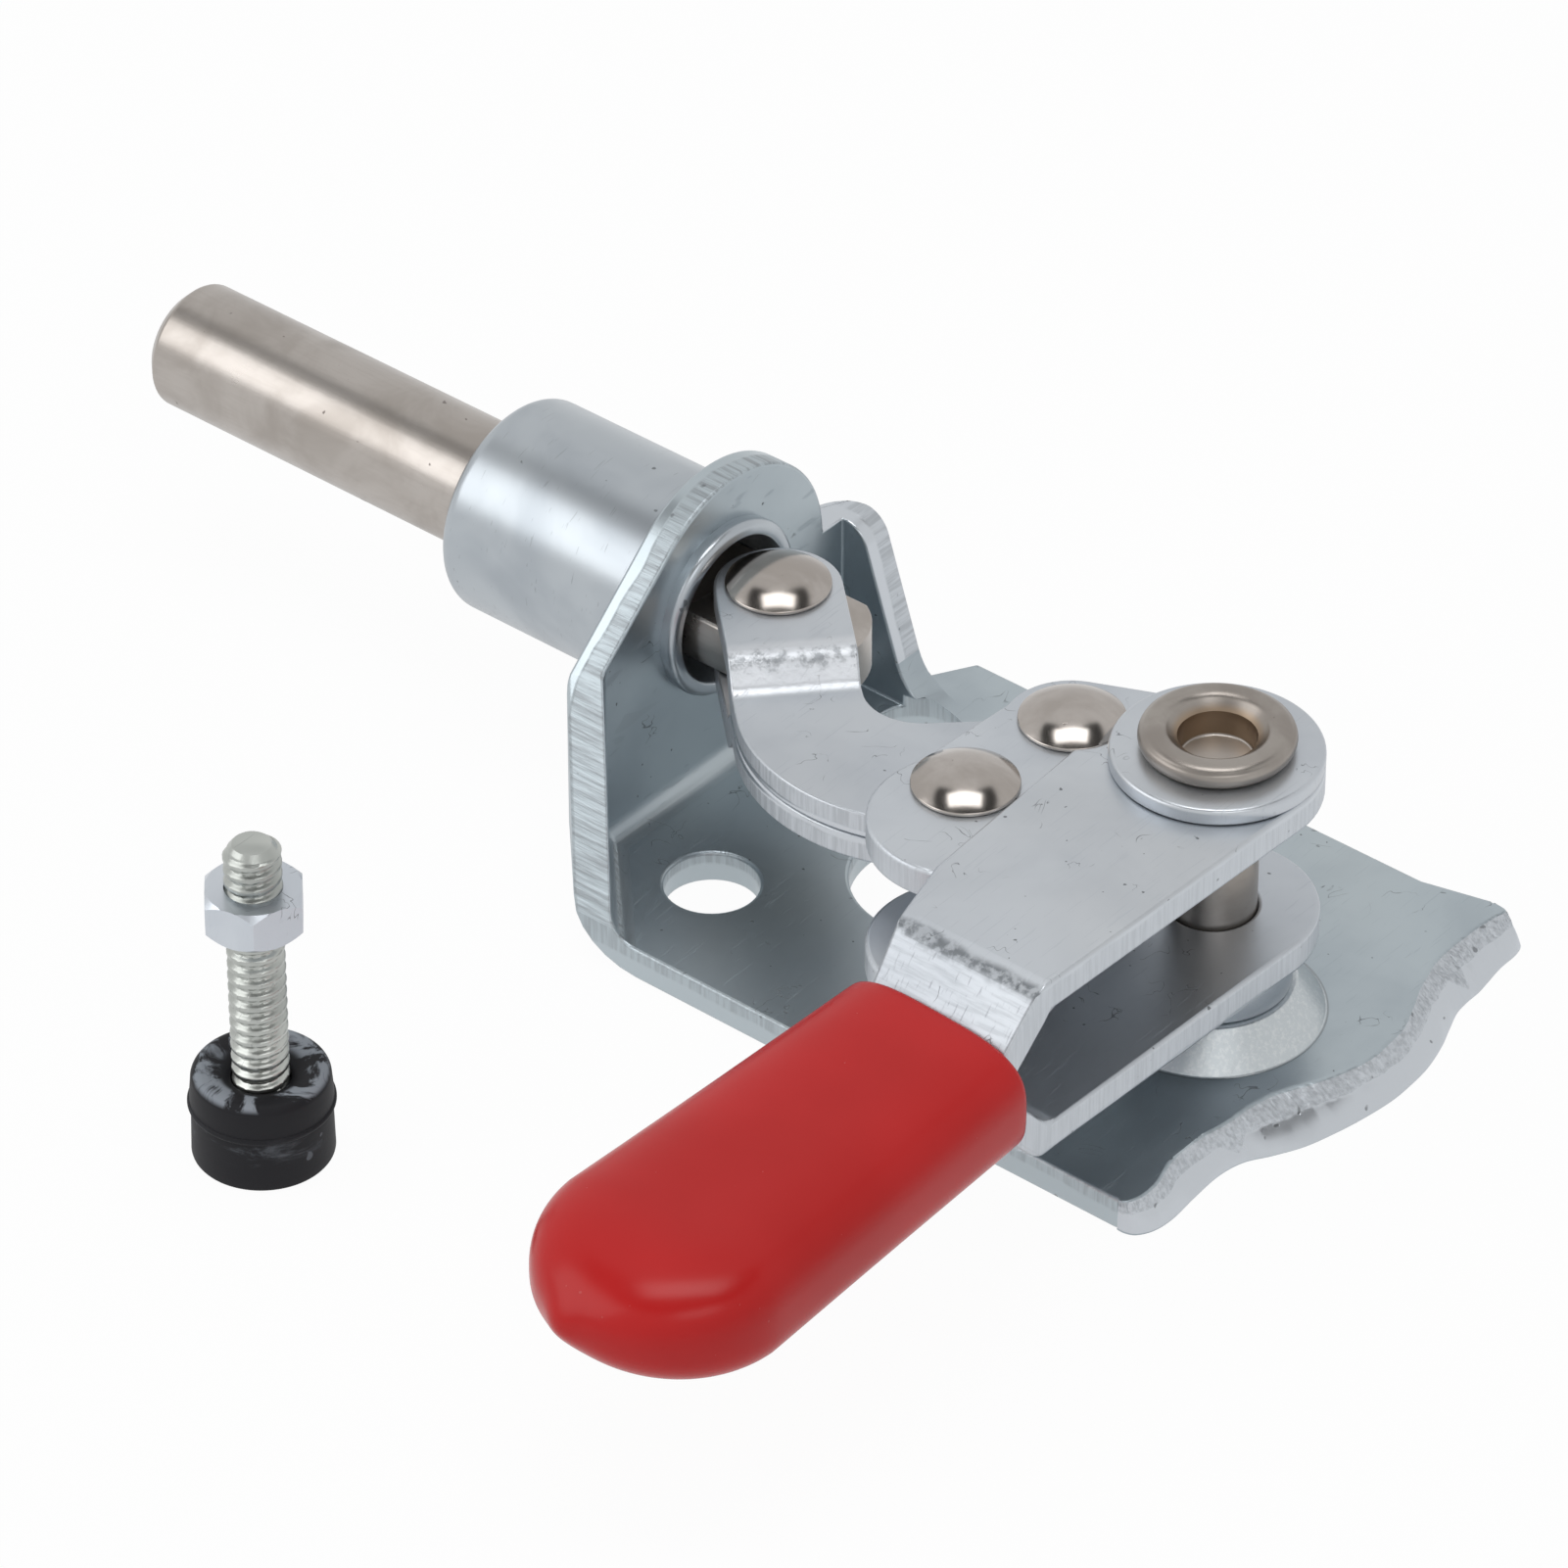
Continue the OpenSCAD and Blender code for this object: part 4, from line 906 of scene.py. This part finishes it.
# Rubber foot: a cup round the stud, a dished top with a soft rim, a bead, and a plain skirt
footLook = {"radius": 6.2 * mm, "height": 8.8 * mm, "beadZ": 5.3 * mm, "bead": 0.3 * mm, "dish": 3.4 * mm,
            "cupR": 2.6 * mm, "cupZ": 3.0 * mm, "rim": 0.95 * mm, "soft": 0.35 * mm}


def footProfile():
    look = footLook
    radius, high, beadZ, soft = look["radius"], look["height"], look["beadZ"], look["soft"]
    profile = [(0.0, look["cupZ"]), (look["cupR"], look["cupZ"]), (look["cupR"] + 0.02 * mm, high - 1.0 * mm)]
    profile += [(2.9 * mm, high - 0.75 * mm), (look["dish"], high - 0.5 * mm), (4.1 * mm, high - 0.12 * mm)]
    profile += bow(radius - 1.1 * mm, high - look["rim"], look["rim"], 92, 8, 9)
    profile += [(radius, beadZ + 0.75 * mm)]
    profile += bow(radius - 0.1 * mm, beadZ + 0.1 * mm, look["bead"], 70, -50, 7)
    profile += [(radius - 0.16 * mm, beadZ - 0.4 * mm), (radius - 0.1 * mm, beadZ - 0.8 * mm)]
    profile += [(radius - 0.02 * mm, 1.0 * mm)]
    return profile + bow(radius - soft, soft, soft, 0, -90, 5) + [(0.0, 0.0)]


rubber = blackRubber("blackRubber", 0.0, footLook["height"], place["spindle"], footLook["radius"])
foot = turned("spindleFoot", footProfile(), (*place["spindle"], 0.0), "z", "root",
              [rubber], 128)
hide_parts("spindle_foot")

# The spacer rings keep the CAD's own mesh
for node in ("link_spacer_upper", "link_spacer_lower"):
    frame["nodes"][node].data.materials.clear()
    frame["nodes"][node].data.materials.append(washerZinc)
print("spindle done")


# Stage: a white floor that keeps a soft shadow
stageLook = {"half": 4.0, "below": 0.1 * mm, "floorColour": (0.86, 0.87, 0.88, 1), "cameraWhite": 0.96,
             "seenInMetal": 0.7}
corners = np.array([(-1, -1, 0), (1, -1, 0), (1, 1, 0), (-1, 1, 0)], float) * stageLook["half"]
corners[:, 2] = -stageLook["below"]
floorMesh = bpy.data.meshes.new("stageFloor")
floorMesh.from_pydata(corners.tolist(), [], [(0, 1, 2, 3)])
floor = bpy.data.objects.new("stageFloor", floorMesh)
scene.collection.objects.link(floor)
tree = paint("paper", 0.0)
tree.put(tree.shader.inputs["Roughness"], 0.9)
tree.put(tree.shader.inputs["Base Color"], stageLook["floorColour"])
white = tree.node("ShaderNodeEmission", None, {"Color": (1, 1, 1, 1), "Strength": 1.0})
isCamera, isGlossy, isThrough = tree.rays()
seen = isCamera.most(isGlossy * stageLook["seenInMetal"]).most(isThrough) * stageLook["cameraWhite"]
blended = tree.node("ShaderNodeMixShader", None, {0: seen, 1: Wire(tree, tree.shader.outputs[0]), 2: white})
tree.put(tree.nodeTree.nodes["Material Output"].inputs[0], blended)
floor.data.materials.append(tree.material)

# World: white to the camera. Metal sees pale walls and, overhead, a dark canopy round the top softbox
# that is open towards the far side. Matt surfaces get one level tone.
worldLook = {"wall": 0.80, "canopy": 0.03, "matt": 0.44, "towards": (-0.64, 0.768, 0),
             "aside": (0.768, 0.64, 0)}
world = bpy.data.worlds.new("studio")
scene.world = world
world.use_nodes = True
tree = Tree(world.node_tree)
direction = tree.node("ShaderNodeTexCoord", out=0)
up = tree.part(direction, "z")
near = tree.vectors("DOT_PRODUCT", direction, worldLook["towards"], 1)
beside = tree.vectors("DOT_PRODUCT", direction, worldLook["aside"], 1)
ring = (near * near + beside * beside) ** 0.5
openSide = tree.ramp(-near - beside.size() * 0.75, 0.0, 0.12)
canopy = (1 - tree.ramp(ring, 0.55, 0.62)) * (1 - openSide) * tree.ramp(up, 0.0, 0.1)
shade = worldLook["wall"] + (worldLook["canopy"] - worldLook["wall"]) * canopy
isCamera, isGlossy, isThrough = tree.rays()
isGlossy = isGlossy.most(isThrough)
level = isCamera + (1 - isCamera) * (isGlossy * shade + (1 - isGlossy) * worldLook["matt"])
background = tree.nodeTree.nodes["Background"]
tree.put(background.inputs["Color"], (1, 1, 1, 1))
tree.put(background.inputs["Strength"], level)


# Softboxes: azimuth and elevation in degrees; distance, width and height in metres; radiance
lamps = {"sideBox": (52, 33, 1.0, 0.75, 0.6, 1.35), "topBox": (129.8, 88, 1.0, 0.66, 0.33, 3.4),
         "frontBox": (146, 48, 1.1, 0.5, 0.3, 1.5)}
for name, (azimuth, elevation, distance, width, height, radiance) in lamps.items():
    light = bpy.data.lights.new(name, "AREA")
    light.shape, light.size, light.size_y = "RECTANGLE", width, height
    light.energy = radiance * math.pi * width * height
    lamp = bpy.data.objects.new(name, light)
    around, above = math.radians(azimuth), math.radians(elevation)
    flat = math.cos(above)
    lamp.location = Vector((math.cos(around) * flat, math.sin(around) * flat, math.sin(above))) * distance
    lamp.rotation_euler = (-lamp.location).to_track_quat("-Z", "Y").to_euler()
    lamp.visible_camera = False
    scene.collection.objects.link(lamp)

cameraLook = {"at": (-0.4423, 0.5353, 0.5309), "along": (0.5105, -0.6128, -0.6032), "lens": 224.9}
cameraData = bpy.data.cameras.new("photoCamera")
cameraData.lens, cameraData.sensor_width = cameraLook["lens"], 36.0
cameraData.clip_start, cameraData.clip_end = 0.01, 50.0
camera = bpy.data.objects.new("photoCamera", cameraData)
camera.location = cameraLook["at"]
camera.rotation_euler = Vector(cameraLook["along"]).to_track_quat("-Z", "Y").to_euler()
scene.collection.objects.link(camera)
scene.camera = camera
scene.view_settings.view_transform = "Standard"

print("stage, lamps and camera done")
